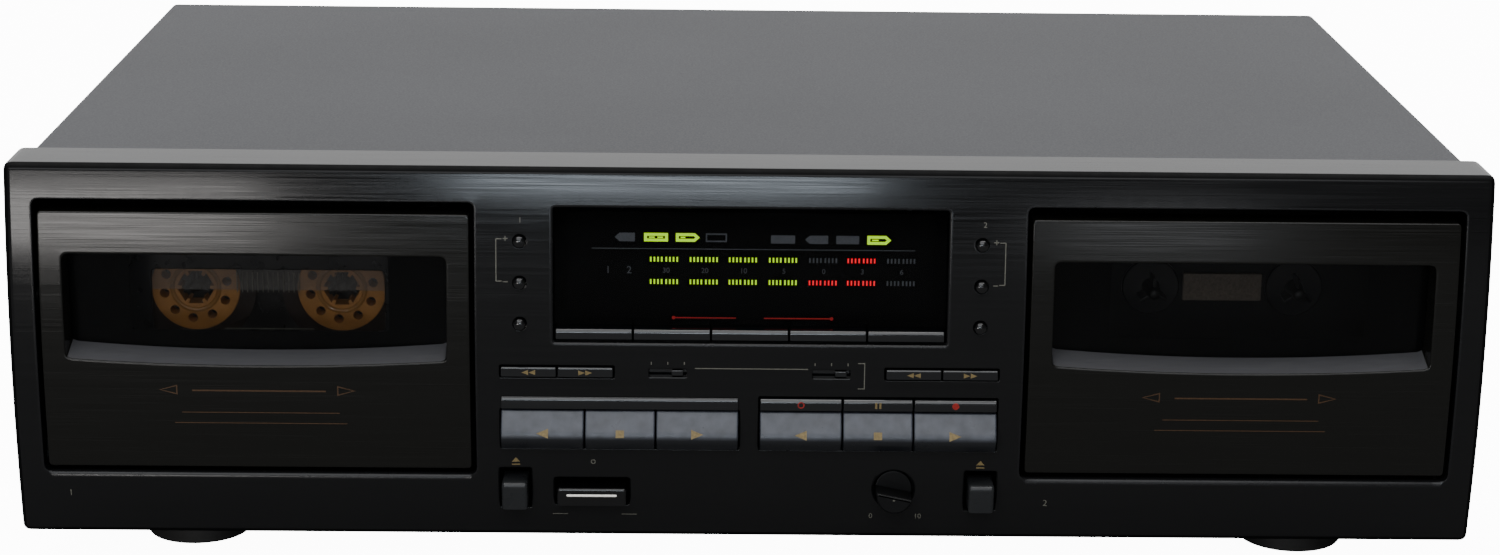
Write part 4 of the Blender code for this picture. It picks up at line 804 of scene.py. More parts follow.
# The transport keys' chins and undersides take painted shade, darker where they turn down.
KEY = UndersideShaded("key_grey_moulding", (0.043, 0.047, 0.058), 0.32, 0.5, tone=1.7, cloud=330.0)
STRIP = Moulded("strip_moulding", (0.0040, 0.0043, 0.0050), 0.12, 0.75, hairline=0.2)
BUTTON = Moulded("button_moulding", (0.003, 0.003, 0.0032), 0.10, 0.6)
EJECT_GREY = Moulded("eject_moulding", (0.016, 0.017, 0.018), 0.30, 0.4)
KNOB = Moulded("knob_moulding", (0.003, 0.003, 0.0032), 0.45, 0.2)
COVER = Painted("charcoal_stoved_paint", (0.043, 0.044, 0.048), 0.48, gloss=0.26)
REAR = Painted("rear_paint", (0.018, 0.018, 0.020), 0.5)
ZINC = Metal("zinc_sheet", (0.56, 0.57, 0.56), 0.36, spangle=1.0)
PLATED = Metal("plated_metal", (0.62, 0.62, 0.63), 0.16)
SCREW = Metal("blackened_screw", (0.09, 0.09, 0.095), 0.34)
BRASS = Metal("turned_flywheel", (0.62, 0.50, 0.28), 0.26)
LAMINATION = Metal("transformer_lamination", (0.20, 0.18, 0.15), 0.5, marks=(900, 40, 3000))
FOOT = Rubber("foot_rubber", (0.020, 0.019, 0.018), 0.6)
NYLON = Rubber("nylon_moulding", (0.012, 0.012, 0.013), 0.36)
LENS = Clear("smoked_lens", (0.002, 0.002, 0.002), 0.20, 0.03, 0.5)
GLASS = Clear("display_glass", (0.002, 0.002, 0.002), 0.22, 0.05, 0.25)
SMOKE = Veiled("cassette_window_plastic", (0.03, 0.025, 0.02), 0.08, 0.10, 0.4, height=0.0788)
DARK_STEEL = Painted("blackened_plate", (0.006, 0.006, 0.006), 0.5, gloss=0.2)
PATCH = Ink("sight_patch", (0.17, 0.14, 0.11), 0.5)
MASK = Ink("black_mask", (0.0015, 0.0015, 0.0016), 0.6, 0.05)
GOLD = Ink("gold_print", (0.26, 0.19, 0.08))
AMBER = Ink("amber_print", (0.085, 0.043, 0.019))
PALE = Ink("pale_print", (0.17, 0.165, 0.135))
RED_INK = Ink("red_print", (0.40, 0.025, 0.020))
# Unlit segments glow faintly: a painted glow for the light that their phosphor would reflect.
UNLIT_PAINTED_GLOW = Lamp("unlit_segment_painted_glow", (0.13, 0.14, 0.16), 0.06)
LIME = Lamp("lime_segment", (0.45, 0.86, 0.0), 1.6)
RED = Lamp("red_segment", (0.90, 0.004, 0.020), 1.5)
COPY_RED = Lamp("red_line", (0.46, 0.010, 0.012), 0.26)
# The power button's bar is no lamp: its glow is a painted glow for its bright reflection.
BAR_PAINTED_GLOW = Lamp("power_bar_painted_glow", (0.92, 0.90, 0.84), 0.45)
ORANGE = Moulded("hub_orange", (0.50, 0.22, 0.045), 0.34, 0.5, tone=1.35, cloud=160.0)
TAPE = Moulded("tape_pack", (0.020, 0.011, 0.008), 0.22, 0.5)
LABEL = Moulded("cassette_shell_dark", (0.006, 0.006, 0.0065), 0.30, 0.4)
COLLAR = Moulded("hub_collar", (0.42, 0.20, 0.05), 0.10, 1.0, tone=1.2)
BOARD = Board("circuit_board", (0.012, 0.060, 0.022))
SPINDLE = Moulded("spindle_moulding", (0.005, 0.005, 0.005), 0.34, 0.4)
SOCKET_RED = Moulded("socket_red", (0.45, 0.02, 0.02), 0.4, 0.4)
SOCKET_WHITE = Moulded("socket_white", (0.62, 0.61, 0.58), 0.4, 0.4)


def settle(
    shell: Shell, finishes: Finish | Sequence[Finish], body: str, slot: str, *replaced: str,
    smooth: float = 35.0,
) -> None:
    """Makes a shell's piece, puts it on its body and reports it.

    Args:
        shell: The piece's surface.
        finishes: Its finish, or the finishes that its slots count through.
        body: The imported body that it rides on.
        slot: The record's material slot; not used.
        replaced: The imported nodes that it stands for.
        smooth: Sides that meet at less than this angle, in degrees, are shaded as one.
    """
    piece = shell.build([finishes] if isinstance(finishes, Finish) else finishes, smooth)
    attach(piece, body)
    if replaced:
        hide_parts(*replaced)
    LOG.info("%s rides on %s, %d faces", piece.name, body, len(piece.data.polygons))


def dress(node: str, finish: Finish) -> None:
    """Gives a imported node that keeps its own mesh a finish."""
    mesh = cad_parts[node].data
    mesh.materials.clear()
    mesh.materials.append(finish.material())
    LOG.info("%s keeps its packed mesh", node)


class Marks:
    """Printed or lit shapes of one finish: thin closed plates laid on a surface.

    Places and sizes are in millimetres, from a middle of the marks' own.
    """

    THICK = 0.03 * MM
    SUNK = 0.06 * MM
    STEP = 2.5 * MM

    def __init__(
        self, name: str, finish: Finish, lift: Lift, middle: Sequence[float] = (0.0, 0.0)
    ) -> None:
        """Starts an empty set of marks.

        Args:
            name: The piece's name.
            finish: The ink or lamp.
            lift: The y of the surface that they lie on, for an array of (x, z).
            middle: Their middle in (x, z), in metres.
        """
        self.shell, self.finish, self.lift = Shell(name), finish, lift
        self.middle = np.array(middle)

    def shape(self, outer: Array, holes: Sequence[Array] = ()) -> None:
        """One shape: an outline in (x, z), and any holes in it.

        Args:
            outer: The outline.
            holes: The holes' outlines.
        """
        rings = [subdivided(np.array(ring) * MM + self.middle, self.STEP) for ring in (outer, *holes)]
        front = lambda flat: self.lift(flat) - self.THICK
        back = lambda flat: self.lift(flat) + self.SUNK
        for side in (front, back):
            self.shell.fill(rings[0], rings[1:], side)
        for ring in rings:
            self.shell.strip(np.array([at_depth(ring, front(ring)), at_depth(ring, back(ring))]))

    def drawn(self, corners: Sequence[Sequence[float]], line: float) -> None:
        """An outline filled, or drawn as a line of some width."""
        corners = np.array(corners)
        self.shape(corners, [corners - outward(corners) * line] if line else [])

    def bar(self, x0: float, z0: float, x1: float, z1: float, line: float = 0) -> None:
        """A rectangle between two corners, filled or drawn as a line."""
        self.drawn(box_outline((x0, z0), (x1, z1)), line)

    def rule(self, x0: float, z0: float, x1: float, z1: float, line: float) -> None:
        """An upright or level stroke between two points, as wide as a line."""
        (x0, x1), (z0, z1) = sorted((x0, x1)), sorted((z0, z1))
        wide, tall = (line / 2, 0) if x0 == x1 else (0, line / 2)
        self.bar(x0 - wide, z0 - tall, x1 + wide, z1 + tall)

    def triangle(
        self, x: float, z: float, wide: float, tall: float, way: int, line: float = 0
    ) -> None:
        """A triangle that points left or right, filled or drawn as a line."""
        base, up = x - way * wide / 2, tall / 2 * way
        self.drawn([[base, z + up], [base, z - up], [x + way * wide / 2, z]], line)

    def arrow_box(
        self, x0: float, z0: float, x1: float, z1: float, way: int, line: float = 0
    ) -> None:
        """A rectangle with one end drawn out to a point, filled or drawn as a line.

        Args:
            x0: The left end.
            z0: The lower side.
            x1: The right end.
            z1: The upper side.
            way: Minus one for a point on the left, one for the right.
            line: The line's width, or nothing for a filled shape.
        """
        tip, middle = (z1 - z0) * 0.55, (z0 + z1) / 2
        if way > 0:
            corners = [[x0, z0], [x1 - tip, z0], [x1, middle], [x1 - tip, z1], [x0, z1]]
        else:
            corners = [[x0, middle], [x0 + tip, z0], [x1, z0], [x1, z1], [x0 + tip, z1]]
        self.drawn(corners, line)

    def ring(self, x: float, z: float, radius: float, line: float = 0) -> None:
        """A disc, or a circle drawn as a line."""
        self.shape(circle((x, z), radius, 24), [circle((x, z), radius - line, 24)] if line else [])

    def numeral(self, text: str, tall: float, x: float, z: float) -> None:
        """A plain numeral, from the built-in face, set upright on the surface.

        Args:
            text: Its figures.
            tall: Its height.
            x: Its middle across.
            z: Its middle's height.
        """
        curve = bpy.data.curves.new("numeral", "FONT")
        curve.body, curve.size, curve.extrude = text, tall * MM, self.SUNK
        curve.align_x, curve.align_y = "CENTER", "CENTER"
        maker = bpy.data.objects.new("numeral", curve)
        mesh = maker.to_mesh()
        flat = np.empty(len(mesh.vertices) * 3)
        mesh.vertices.foreach_get("co", flat)
        flat = flat.reshape(-1, 3)
        plan = flat[:, :2] + mm(x, z) + self.middle
        points = np.column_stack([plan[:, 0], self.lift(plan) - flat[:, 2] / 2, plan[:, 1]])
        self.shell.add(points, [list(p.vertices) for p in mesh.polygons])
        maker.to_mesh_clear()
        bpy.data.objects.remove(maker)

    def done(self, body: str, slot: str) -> None:
        """Makes the piece and settles it on a body."""
        settle(self.shell, self.finish, body, slot, smooth=20)


def pierced(
    name: str, outline: Array, holes: Sequence[Array], front: float, back: float,
    edge: float = 0.0, hole_edge: float = 0.0,
) -> Shell:
    """A flat plate with holes right through it, its front edges rounded over.

    Args:
        name: The piece's name.
        outline: The plate's outline.
        holes: The holes' outlines.
        front: The y of its front.
        back: The y of its back.
        edge: The outline's radius.
        hole_edge: The holes' radius.

    Returns:
        The closed surface.
    """
    shell = Shell(name)
    sides = [(outline, -edge, edge), *((hole, hole_edge, hole_edge) for hole in holes)]
    rounded = [
        edge_rings(ring, across, reach, 3, level(front)) if reach else at_depth(ring, front)[None]
        for ring, across, reach in sides
    ]
    outer, *bores = [rings[0][:, ::2] for rings in rounded]
    shell.fill(outer, bores, level(front))
    shell.fill(outline, holes, level(back))
    for rings, flat in zip(rounded, [outline, *holes]):
        shell.strip(np.concatenate([rings, at_depth(flat, back)[None]]))
    return shell


def front_view(low: Sequence[float], high: Sequence[float], radius: float, steps: int = 4) -> Array:
    """A box's outline in (x, z), its corners softened."""
    return softened(box_outline(low[::2], high[::2]), radius, steps)


def brick(name: str, low: Sequence[float], high: Sequence[float], edge: float) -> Shell:
    """A block between two corners, its front and side edges softened."""
    return plate(name, front_view(low, high, edge, 3), low[1], high[1], edge * 0.8)


def turn_by(angle: float, axis: int = 2) -> Array:
    """The matrix of a turn about one of the three axes, by default the last.

    Args:
        angle: The angle in radians.
        axis: The axis, 0 to 2.

    Returns:
        Cosines, and sines of opposite signs, between the other two axes.
    """
    turn, near, far = np.eye(3), (axis + 1) % 3, (axis + 2) % 3
    turn[[near, far], [near, far]] = math.cos(angle)
    turn[[far, near], [near, far]] = math.sin(angle), -math.sin(angle)
    return turn


RUN_GAP = 0.4 * MM
HUB_HALF = 21.25 * MM
SPINDLE_TABLE = 32.2 * MM
ROUND_BUTTONS = ("search_up_button", "search_down_button", "auto_play_button")


@dataclass(frozen=True)
class Row:
    """One row of keys or one button: its heights, and how far it stands off the front.

    Attributes:
        low: The lower edge.
        high: The upper edge.
        proud: How far it stands off the front.
        travel: How far it goes in.
        below: Whether its retaining flange is under it.
        crown: How many times softer its upper edge is than its lower.
    """

    low: float
    high: float
    proud: float
    travel: float
    below: bool
    crown: float = 1.0

    def nose(self, soft: float) -> tuple[Array, list[float]]:
        """The front's points from the lower to the upper edge, with their softening."""
        bottom, top = face_y(self.low) - self.proud, face_y(self.high) - self.proud
        return np.array([[bottom, self.low], [top, self.high]]), [soft, soft * self.crown]

    def lift(self, flat: Array) -> Array:
        """The face's y, which follows the front."""
        return front_lift(flat) - self.proud


@dataclass(frozen=True)
class TransportRow(Row):
    """The transport keys, whose face leans back above a rounded chin."""

    chin_proud: float = 2.0 * MM
    nose_height: float = 31.7 * MM
    nose_soft: float = 8.0
    top_proud: float = 0.5 * MM

    def nose(self, soft: float) -> tuple[Array, list[float]]:
        """Chin, nose and the leaning face."""
        points = [
            [face_y(self.low) - self.chin_proud, self.low],
            [face_y(self.nose_height) - self.proud, self.nose_height],
            [face_y(self.high) - self.top_proud, self.high],
        ]
        return np.array(points), [soft, soft * self.nose_soft, soft]

    def lift(self, flat: Array) -> Array:
        """The leaning face's y, a straight line between its nose and its top."""
        front = face_y(self.nose_height) - self.proud
        top = face_y(self.high) - self.top_proud
        share = (flat[:, 1] - self.nose_height) / (self.high - self.nose_height)
        return front + (top - front) * share


WIND = Row(*mm(49.6, 52.5, 0.9, 1.0), False, 1.6)
STRIPS = Row(*mm(40.0, 43.6, 1.0, 1.5), False, 5.6)
FUNCTION = Row(*mm(60.5, 63.6, -0.3, 1.0), True, 5.0)
EJECT = Row(*mm(10.1, 18.6, 5.5, 3.0), True, 5.0)
POWER = Row(*mm(10.7, 16.3, 3.6, 2.5), True, 3.0)
TRANSPORT = TransportRow(*mm(28.2, 39.4, 4.4, 1.5), True)


@dataclass
class FrontPanel:
    """The bezel with its openings, and the trim bar fixed over the left keys.

    Attributes:
        edge: The outer edge's radius.
        corner: The radius of its corners seen from the front.
        wall: The side walls' thickness beyond the case.
        slot_edge: The radius of a key slot's edge.
        door_edge: The radius of a door opening's edge, but for its lower side.
        lip: The lower side's rounding, across and into the panel.
        gaps: A door's gap at its sides, foot and head.
        framed: The least width of an opening whose rim is painted lighter, a painted highlight along its
            edge.
        pitch: The longest side of the outlines.
    """

    edge: float = 2.0 * MM
    corner: float = 2.4 * MM
    wall: float = 5.35 * MM
    slot_edge: float = 0.3 * MM
    door_edge: float = 0.35 * MM
    lip: tuple[float, float] = (1.6 * MM, 1.2 * MM)
    gaps: tuple[float, float, float] = (1.35 * MM, 1.7 * MM, 3.4 * MM)
    framed: float = 100.0 * MM
    pitch: float = 2.4 * MM

    def door_opening(self, deck: Deck) -> tuple[Array, Array, Array]:
        """A door's opening, with the reach of its edge's rounding across and into the panel.

        Args:
            deck: The door's deck.

        Returns:
            The outline, and the two reaches at each of its points.
        """
        low, high = deck_box(f"door_panel_{deck.value}")
        side, foot, head = self.gaps
        corners = box_outline((low[0] - side, low[2] - foot), (high[0] + side, high[2] + head))
        ring = subdivided(softened(corners, 2.0 * MM), self.pitch)
        lower = ring[:, 1] < corners[0, 1] + 0.01 * MM
        across, deep = [np.where(lower, reach, self.door_edge) for reach in self.lip]
        return ring, across, deep

    def slots(self) -> list[tuple[Array, float]]:
        """The smaller openings, each with its edge's radius."""
        outer = deck_box("play_key_2")[1][0] + RUN_GAP
        inner = deck_box("reverse_play_key_2")[0][0] - RUN_GAP
        wind_inner = deck_box("rewind_key_2")[0][0] - RUN_GAP
        found = []
        for deck, bank in zip(Deck, (TRANSPORT, STRIPS)):
            spans = [
                (inner, outer, TRANSPORT.low - 0.5 * MM, bank.high + RUN_GAP, self.slot_edge),
                (wind_inner, outer, WIND.low - RUN_GAP, WIND.high + RUN_GAP, self.slot_edge),
                mm(17.9, 28.7, 49.6, 52.1, 0.3),
                mm(62.45, 71.55, 9.2, 21.4, 0.5),
            ]
            for near, far, low, high, soft in spans:
                x0, x1 = sorted((deck.side * near, deck.side * far))
                found.append((softened(box_outline((x0, low), (x1, high)), 0.5 * MM), soft))
            for name in ROUND_BUTTONS:
                hole = circle(middle_of(f"{name}_{deck.value}")[::2], 2.0 * MM, 28)
                found.append((hole, 0.15 * MM))
        low, high = deck_box("display_window")
        display = box_outline((low[0] - RUN_GAP, 59.7 * MM), high[::2] + RUN_GAP)
        found.append((softened(display, 0.8 * MM), 0.7 * MM))
        low, high = deck_box("power_button")
        power = box_outline((low[0] - 0.75 * MM, 10.2 * MM), (high[0] + 0.75 * MM, 18.5 * MM))
        found.append((softened(power, 0.8 * MM), 0.5 * MM))
        knob = (middle_of("record_level_knob")[0], KNOB_HEIGHT)
        found.append((circle(knob, KNOB_RADIUS + 0.5 * MM, 48), 0.6 * MM))
        return [(subdivided(ring, 2.2 * MM), soft) for ring, soft in found]

    def bezel(self) -> None:
        """The moulding as one closed surface, hollow behind, with painted shade as a dark line under its
        lip and a painted highlight on the wide openings' rims.
        """
        shell = Shell("front_bezel")
        half = PANEL_WIDTH / 2
        outline = softened(box_outline((-half, 0), (half, PANEL_HEIGHT)), self.corner)
        outline = subdivided(outline, self.pitch)
        openings = [self.door_opening(deck) for deck in Deck]
        openings += [(ring, soft, soft) for ring, soft in self.slots()]
        outer = edge_rings(outline, -self.edge, self.edge, 5)
        holes = [edge_rings(ring, across, depth, 4) for ring, across, depth in openings]
        shell.fill(outer[0][:, ::2], [hole[0][:, ::2] for hole in holes], front_lift, 2.6 * MM)
        cavity_scale = [1 - self.wall / half, 1 - 2 * PANEL_SKIN / PANEL_HEIGHT]
        cavity = outline * cavity_scale + [0, PANEL_SKIN]
        rims = [at_depth(outline, PANEL_DEPTH), at_depth(cavity, PANEL_DEPTH)]
        rims.append(at_depth(cavity, skin_lift(cavity)))
        shell.strip(outer[:3])
        # Part of the outer rounding is painted darker: painted shade for the line under the lip.
        shell.strip(outer[2:6], 1)
        shell.strip(np.concatenate([outer[5:], rims]))
        for hole, (ring, *_) in zip(holes, openings):
            # Wide openings take the lighter rim finish: a painted highlight along their edge.
            shell.strip(hole, 2 if np.ptp(ring[:, 0]) > self.framed else 0)
            shell.strip(np.concatenate([hole[-1:], at_depth(ring, skin_lift(ring))[None]]))
        shell.fill(cavity, [ring for ring, *_ in openings], skin_lift, 5.2 * MM)
        settle(shell, [BEZEL, LIP_SHADE, RIM_HIGHLIGHT], "root", "bezel_black", "front_panel")

    def build(self) -> None:
        """The bezel and its trim bar."""
        self.bezel()
        left, right = -deck_box("play_key_2")[1][0], -deck_box("reverse_play_key_2")[0][0]
        nose, softs = STRIPS.nose(0.35 * MM)
        back = face_y(STRIPS.low) + PANEL_SKIN / 2
        side = np.array([[back, STRIPS.high], nose[1], nose[0], [back, STRIPS.low]])
        trim = prism("key_trim_bar", softened(side, [0, *softs[::-1], 0]), left, right, 0.3 * MM)
        settle(trim, STRIP, "root", "strip_grey")


@dataclass
class Keys:
    """Every push key and button on the front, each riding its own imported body.

    Attributes:
        soft: The least softening of a key's edges.
        flange: The retaining flange's thickness.
        reach: How far the flange stands out.
        stem: Half the stem's height, as a share of the key's.
        stem_end: The stem's end, less the travel.
        button: A round button's radius.
        bar: The power button's pale bar: half its length, its lower and its upper edge.
    """

    soft: float = 0.35 * MM
    flange: float = 1.2 * MM
    reach: float = 1.1 * MM
    stem: float = 0.225
    stem_end: float = 11.5 * MM
    button: float = 1.7 * MM
    bar: tuple[float, float, float] = (7.2 * MM, 13.85 * MM, 14.5 * MM)

    def side_view(self, row: Row) -> Array:
        """A key's (y, z) outline, counterclockwise: nose, retaining flange and stem.

        Args:
            row: The key's row.

        Returns:
            The outline's points.
        """
        nose, softs = row.nose(self.soft)
        back = max(face_y(row.low), face_y(row.high)) + PANEL_SKIN + RUN_GAP
        rear, end = back + self.flange, self.stem_end - row.travel
        middle, stem = (row.low + row.high) / 2, (row.high - row.low) * self.stem
        upper = row.high + (0 if row.below else self.reach)
        lower = row.low - (self.reach if row.below else 0)
        points = [[back, row.low], *nose, [back, row.high]]
        if not row.below:
            points.append([back, upper])
        points += [[rear, upper], [rear, middle + stem], [end, middle + stem]]
        points += [[end, middle - stem], [rear, middle - stem], [rear, lower]]
        if row.below:
            points.append([back, lower])
        radii = [0.0, *softs, *[0.0] * (len(points) - 1 - len(softs))]
        return softened(np.array(points)[::-1], np.array(radii)[::-1] + 0.02 * MM, 6)

    def key(self, node: str, row: Row, finish: Finish, slot: str, edge: float = 0.35 * MM) -> None:
        """One key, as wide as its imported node."""
        low, high = deck_box(node)
        shell = prism(f"{node}_cap", self.side_view(row), low[0], high[0], edge)
        settle(shell, finish, node, slot, node)

    def round_button(self, node: str) -> None:
        """A small domed button: dome, straight side, flange and stem."""
        low, high = deck_box(node)
        x, z = middle_of(node)[::2]
        r, wide = self.button, self.button + 0.9 * MM
        back = max(face_y(low[2]), face_y(high[2])) + PANEL_SKIN + RUN_GAP
        turn = np.linspace(0, math.pi / 2, 8)
        dome = np.stack([r * np.sin(turn), face_y(z) - 2.0 * MM + 0.8 * MM * (1 - np.cos(turn))], axis=1)
        rest = [[r, back], [wide, back], [wide, back + self.flange], [r, back + self.flange]]
        shell = turned(f"{node}_cap", np.array([*dome, *rest, [r, high[1]], [0, high[1]]]), (x, z), 32)
        settle(shell, BUTTON, node, "button_black", node)

    def build(self) -> None:
        """All keys and buttons, deck by deck."""
        for deck in Deck:
            for name in ("reverse_play_key", "stop_key", "play_key"):
                self.key(f"{name}_{deck.value}", TRANSPORT, KEY, "key_grey", 0.5 * MM)
            for name in ("rewind_key", "forward_key"):
                self.key(f"{name}_{deck.value}", WIND, STRIP, "key_grey")
            for name in ROUND_BUTTONS:
                self.round_button(f"{name}_{deck.value}")
            self.key(f"eject_button_{deck.value}", EJECT, EJECT_GREY, "key_grey", 1.0 * MM)
        for name in ("record_mute_key", "pause_key", "record_key"):
            self.key(name, STRIPS, STRIP, "strip_grey")
        for number in range(1, 6):
            self.key(f"function_key_{number}", FUNCTION, STRIP, "key_grey", 0.3 * MM)
        self.key("power_button", POWER, BUTTON, "button_black", 0.9 * MM)
        middle, front = middle_of("power_button")[0], face_y(14.2 * MM) - POWER.proud
        half, low, high = self.bar
        ends = (middle - half, front - 0.25 * MM, low), (middle + half, front + 0.8 * MM, high)
        # The bar glows though it is no lamp: painted glow.
        settle(brick("power_bar", *ends, 0.3 * MM), BAR_PAINTED_GLOW, "power_button", "strip_grey")


KNOB_RADIUS = 5.4 * MM
KNOB_HEIGHT = 15.5 * MM


@dataclass
class Controls:
    """The record level knob and the two slide switches.

    Attributes:
        tilt: How far the grip is turned clockwise.
        flange: The knob's retaining flange's radius.
        grip: How far the grip stands off the front.
    """

    tilt: float = math.radians(12)
    flange: float = 7.2 * MM
    grip: float = 6.5 * MM

    def knob(self) -> None:
        """A set-back disc with a half-moon grip over its lower half, and its pointer."""
        node = "record_level_knob"
        end = deck_box(node)[1][1]
        centre = np.array([middle_of(node)[0], KNOB_HEIGHT])
        face = face_y(centre[1])
        back = max(face_y(centre[1] + np.array([-1, 1]) * self.flange)) + PANEL_SKIN + RUN_GAP
        r, chamfer = KNOB_RADIUS, 0.15 * MM
        rim = [(r - 0.5 * MM, face + 1.0 * MM), (r - chamfer, face + 1.15 * MM), (r, face + 1.5 * MM)]
        flange = [(r, back), (self.flange, back), (self.flange, back + 1.2 * MM)]
        stem = [(3.0 * MM, back + 1.2 * MM), (3.0 * MM, end), (0, end)]
        disc = turned("level_knob", [(0, face + 1.0 * MM), *rim, *flange, *stem], centre, 64)
        moon = (r - chamfer) * circle((0, 0), 1.0, 64)[np.arange(-32, 1)]
        moon = softened(moon, np.where(np.isin(np.arange(33), (0, 32)), 0.6 * MM, 0.1 * MM), 2)
        turn = turn_by(self.tilt)[:2, :2]
        disc.merge(plate("grip", moon @ turn + centre, face - self.grip, face + 1.6 * MM, 0.7 * MM, 4))
        settle(disc, KNOB, node, "button_black", node)
        pointer = Marks("level_pointer", PALE, level(face - self.grip), centre)
        pointer.shape(box_outline((-0.3, -1.3), (0.3, -0.9)) @ turn)
        pointer.done(node, "button_black")

    def switch(self, node: str) -> None:
        """A slide switch: its knob, and the plate that rides behind the slot."""
        low, high = deck_box(node)
        x, z = middle_of(node)[::2]
        wide, tall = mm(1.7, 0.85)
        ends = (x - wide, low[1], z - tall), (x + wide, high[1] - 0.5 * MM, z + tall)
        knob = brick(f"{node}_knob", *ends, 0.35 * MM)
        knob.merge(brick("plate", (low[0], high[1] - 1.2 * MM, low[2]), high, 0.1 * MM))
        settle(knob, STRIP, node, "key_grey", node)

    def build(self) -> None:
        """The knob and both switches."""
        self.knob()
        for node in ("noise_reduction_switch", "reverse_mode_switch"):
            self.switch(node)


@dataclass
class Door:
    """A cassette door: moulding with a deep window recess, smoked lens and black mask.

    Attributes:
        deck: The transport that it closes.
        rim_back: The y of the upper rim's back.
        rim_low: The height above which the rim is that deep.
        foot_rise: How far the back of the lower rim is cut up for the tilt.
        floor_gain: The cavity's floor above the door's foot.
        recess_half: Half the recess's width.
        recess_high: The recess's upper side.
        recess_back: The y of its back.
        draft: How far it narrows on the way in.
        corner: The radius of its corners.
        mouth: The radius of its front edge.
        edge: The radius of the door's own edge.
        core: The height that the backing behind the recess grows from.
        backing: How many times wider and taller it is than the recess.
        ledge_front: Its lower side at the middle and at the ends, on the front.
        ledge_back: The same at its back.
        points: The number of points along the lower side.
        sight_half: Half the width of the mask's opening.
        sight: The opening's lower and upper side.
    """

    deck: Deck
    rim_back: float = 6.2 * MM
    rim_low: float = 28.0 * MM
    foot_rise: float = 1.3 * MM
    floor_gain: float = 2.6 * MM
    recess_half: float = 54.0 * MM
    recess_high: float = 84.1 * MM
    recess_back: float = 3.6 * MM
    draft: float = 0.15 * MM
    corner: float = 1.7 * MM
    mouth: float = 0.5 * MM
    edge: float = 0.4 * MM
    core: float = 68.0 * MM
    backing: tuple[float, float] = (1.03, 1.07)
    ledge_front: tuple[float, float] = (52.0 * MM, 53.8 * MM)
    ledge_back: tuple[float, float] = (54.3 * MM, 56.6 * MM)
    points: int = 49
    sight_half: float = 36.8 * MM
    sight: tuple[float, float] = (59.5 * MM, 81.9 * MM)

    def __post_init__(self) -> None:
        """Takes the door's place from its packed panel."""
        self.low, self.high = deck_box(f"door_panel_{self.deck.value}")
        self.centre = (self.low[0] + self.high[0]) / 2
        self.body = f"door_{self.deck.value}"

    def recess(self, depth: float, shrink: float) -> Array:
        """The recess's outline, its lower side a parabola across x.

        Args:
            depth: Share of the way from the front to the back plane.
            shrink: How far the outline is drawn in by the draft.

        Returns:
            The outline in (x, z), counterclockwise from the lower left.
        """
        half, high = self.recess_half - shrink, self.recess_high - shrink
        middle, end = np.array(self.ledge_front) * (1 - depth) + np.array(self.ledge_back) * depth
        x = np.sin(np.linspace(-math.pi / 2, math.pi / 2, self.points))
        lower = np.stack([x * half, middle + (end - middle) * x**2], axis=1)
        rise = (end + high) / 2 + (high - end) / 2 * x[3::3]
        right = np.stack([np.full(len(rise), half), rise], axis=1)
        top = np.stack([-x * half, np.full(len(x), high)], axis=1)[1:]
        left = np.stack([np.full(len(rise) - 1, -half), rise[::-1][1:]], axis=1)
        ring = np.concatenate([lower, right, top, left])
        core = np.array([half, (high - end) / 2]) - self.corner
        shifted = ring - [0, (high + end) / 2]
        beyond = shifted - np.clip(shifted, -core, core)
        reach = np.linalg.norm(beyond, axis=1)
        at_corner = np.all(np.abs(beyond) > 0, axis=1)
        ring[at_corner] += (beyond * (self.corner / np.maximum(reach, self.corner) - 1)[:, None])[at_corner]
        return ring + [self.centre, 0]

    def panel(self) -> None:
        """The moulding as one closed surface."""
        low, high = self.low, self.high
        shell = Shell(f"door_{self.deck.value}_panel")
        outline = subdivided(front_view(low, high, 1.2 * MM), 2.4 * MM)
        outer = edge_rings(outline, -self.edge, self.edge, 4)
        front, back = self.recess(0, 0), self.recess(1, self.draft)
        mouth = edge_rings(front, self.mouth, self.mouth, 4)
        shell.fill(outer[0][:, ::2], [mouth[0][:, ::2]], front_lift, 2.4 * MM)
        steps = np.linspace(0, 1, 9)[1:, None, None]
        wall = mouth[-1][None] * (1 - steps) + at_depth(back, self.recess_back)[None] * steps
        core = np.array([self.centre, self.core])
        around = (front - core) * self.backing + core
        shell.strip(mouth)
        sides, last = np.concatenate([mouth[-1:], wall]), self.points
        # The recess's lower side, the ledge, takes the lighter finish: painted light where it faces up.
        shell.strip(sides[:, :last], 1, closed=False)
        shell.strip(np.concatenate([sides[:, last - 1 :], sides[:, :1]], axis=1), closed=False)
        rims = [at_depth(around, self.recess_back), at_depth(around, skin_lift(around))]
        shell.strip(np.concatenate([wall[-1:], rims]))
        upper = outline[:, 1] >= self.rim_low
        foot = np.column_stack([outline[:, 0], np.maximum(outline[:, 1], low[2] + self.foot_rise)])
        half, tall = (high[0] - low[0]) / 2, high[2] - low[2]
        cavity = outline.copy()
        cavity[:, 0] = self.centre + (outline[:, 0] - self.centre) * (1 - PANEL_SKIN / half)
        share = (outline[:, 1] - low[2]) / tall
        cavity[:, 1] = low[2] + self.floor_gain + share * (tall - self.floor_gain - PANEL_SKIN)
        rims = [at_depth(foot, np.where(upper, self.rim_back, skin_lift(outline)))]
        rims.append(at_depth(cavity, np.where(upper, self.rim_back, skin_lift(cavity))))
        rims.append(at_depth(cavity, skin_lift(cavity)))
        shell.strip(np.concatenate([outer, rims]))
        shell.fill(cavity, [around], skin_lift, 5.0 * MM)
        settle(shell, [DOOR, LEDGE_PAINTED_LIGHT], self.body, "door_black", f"door_panel_{self.deck.value}")

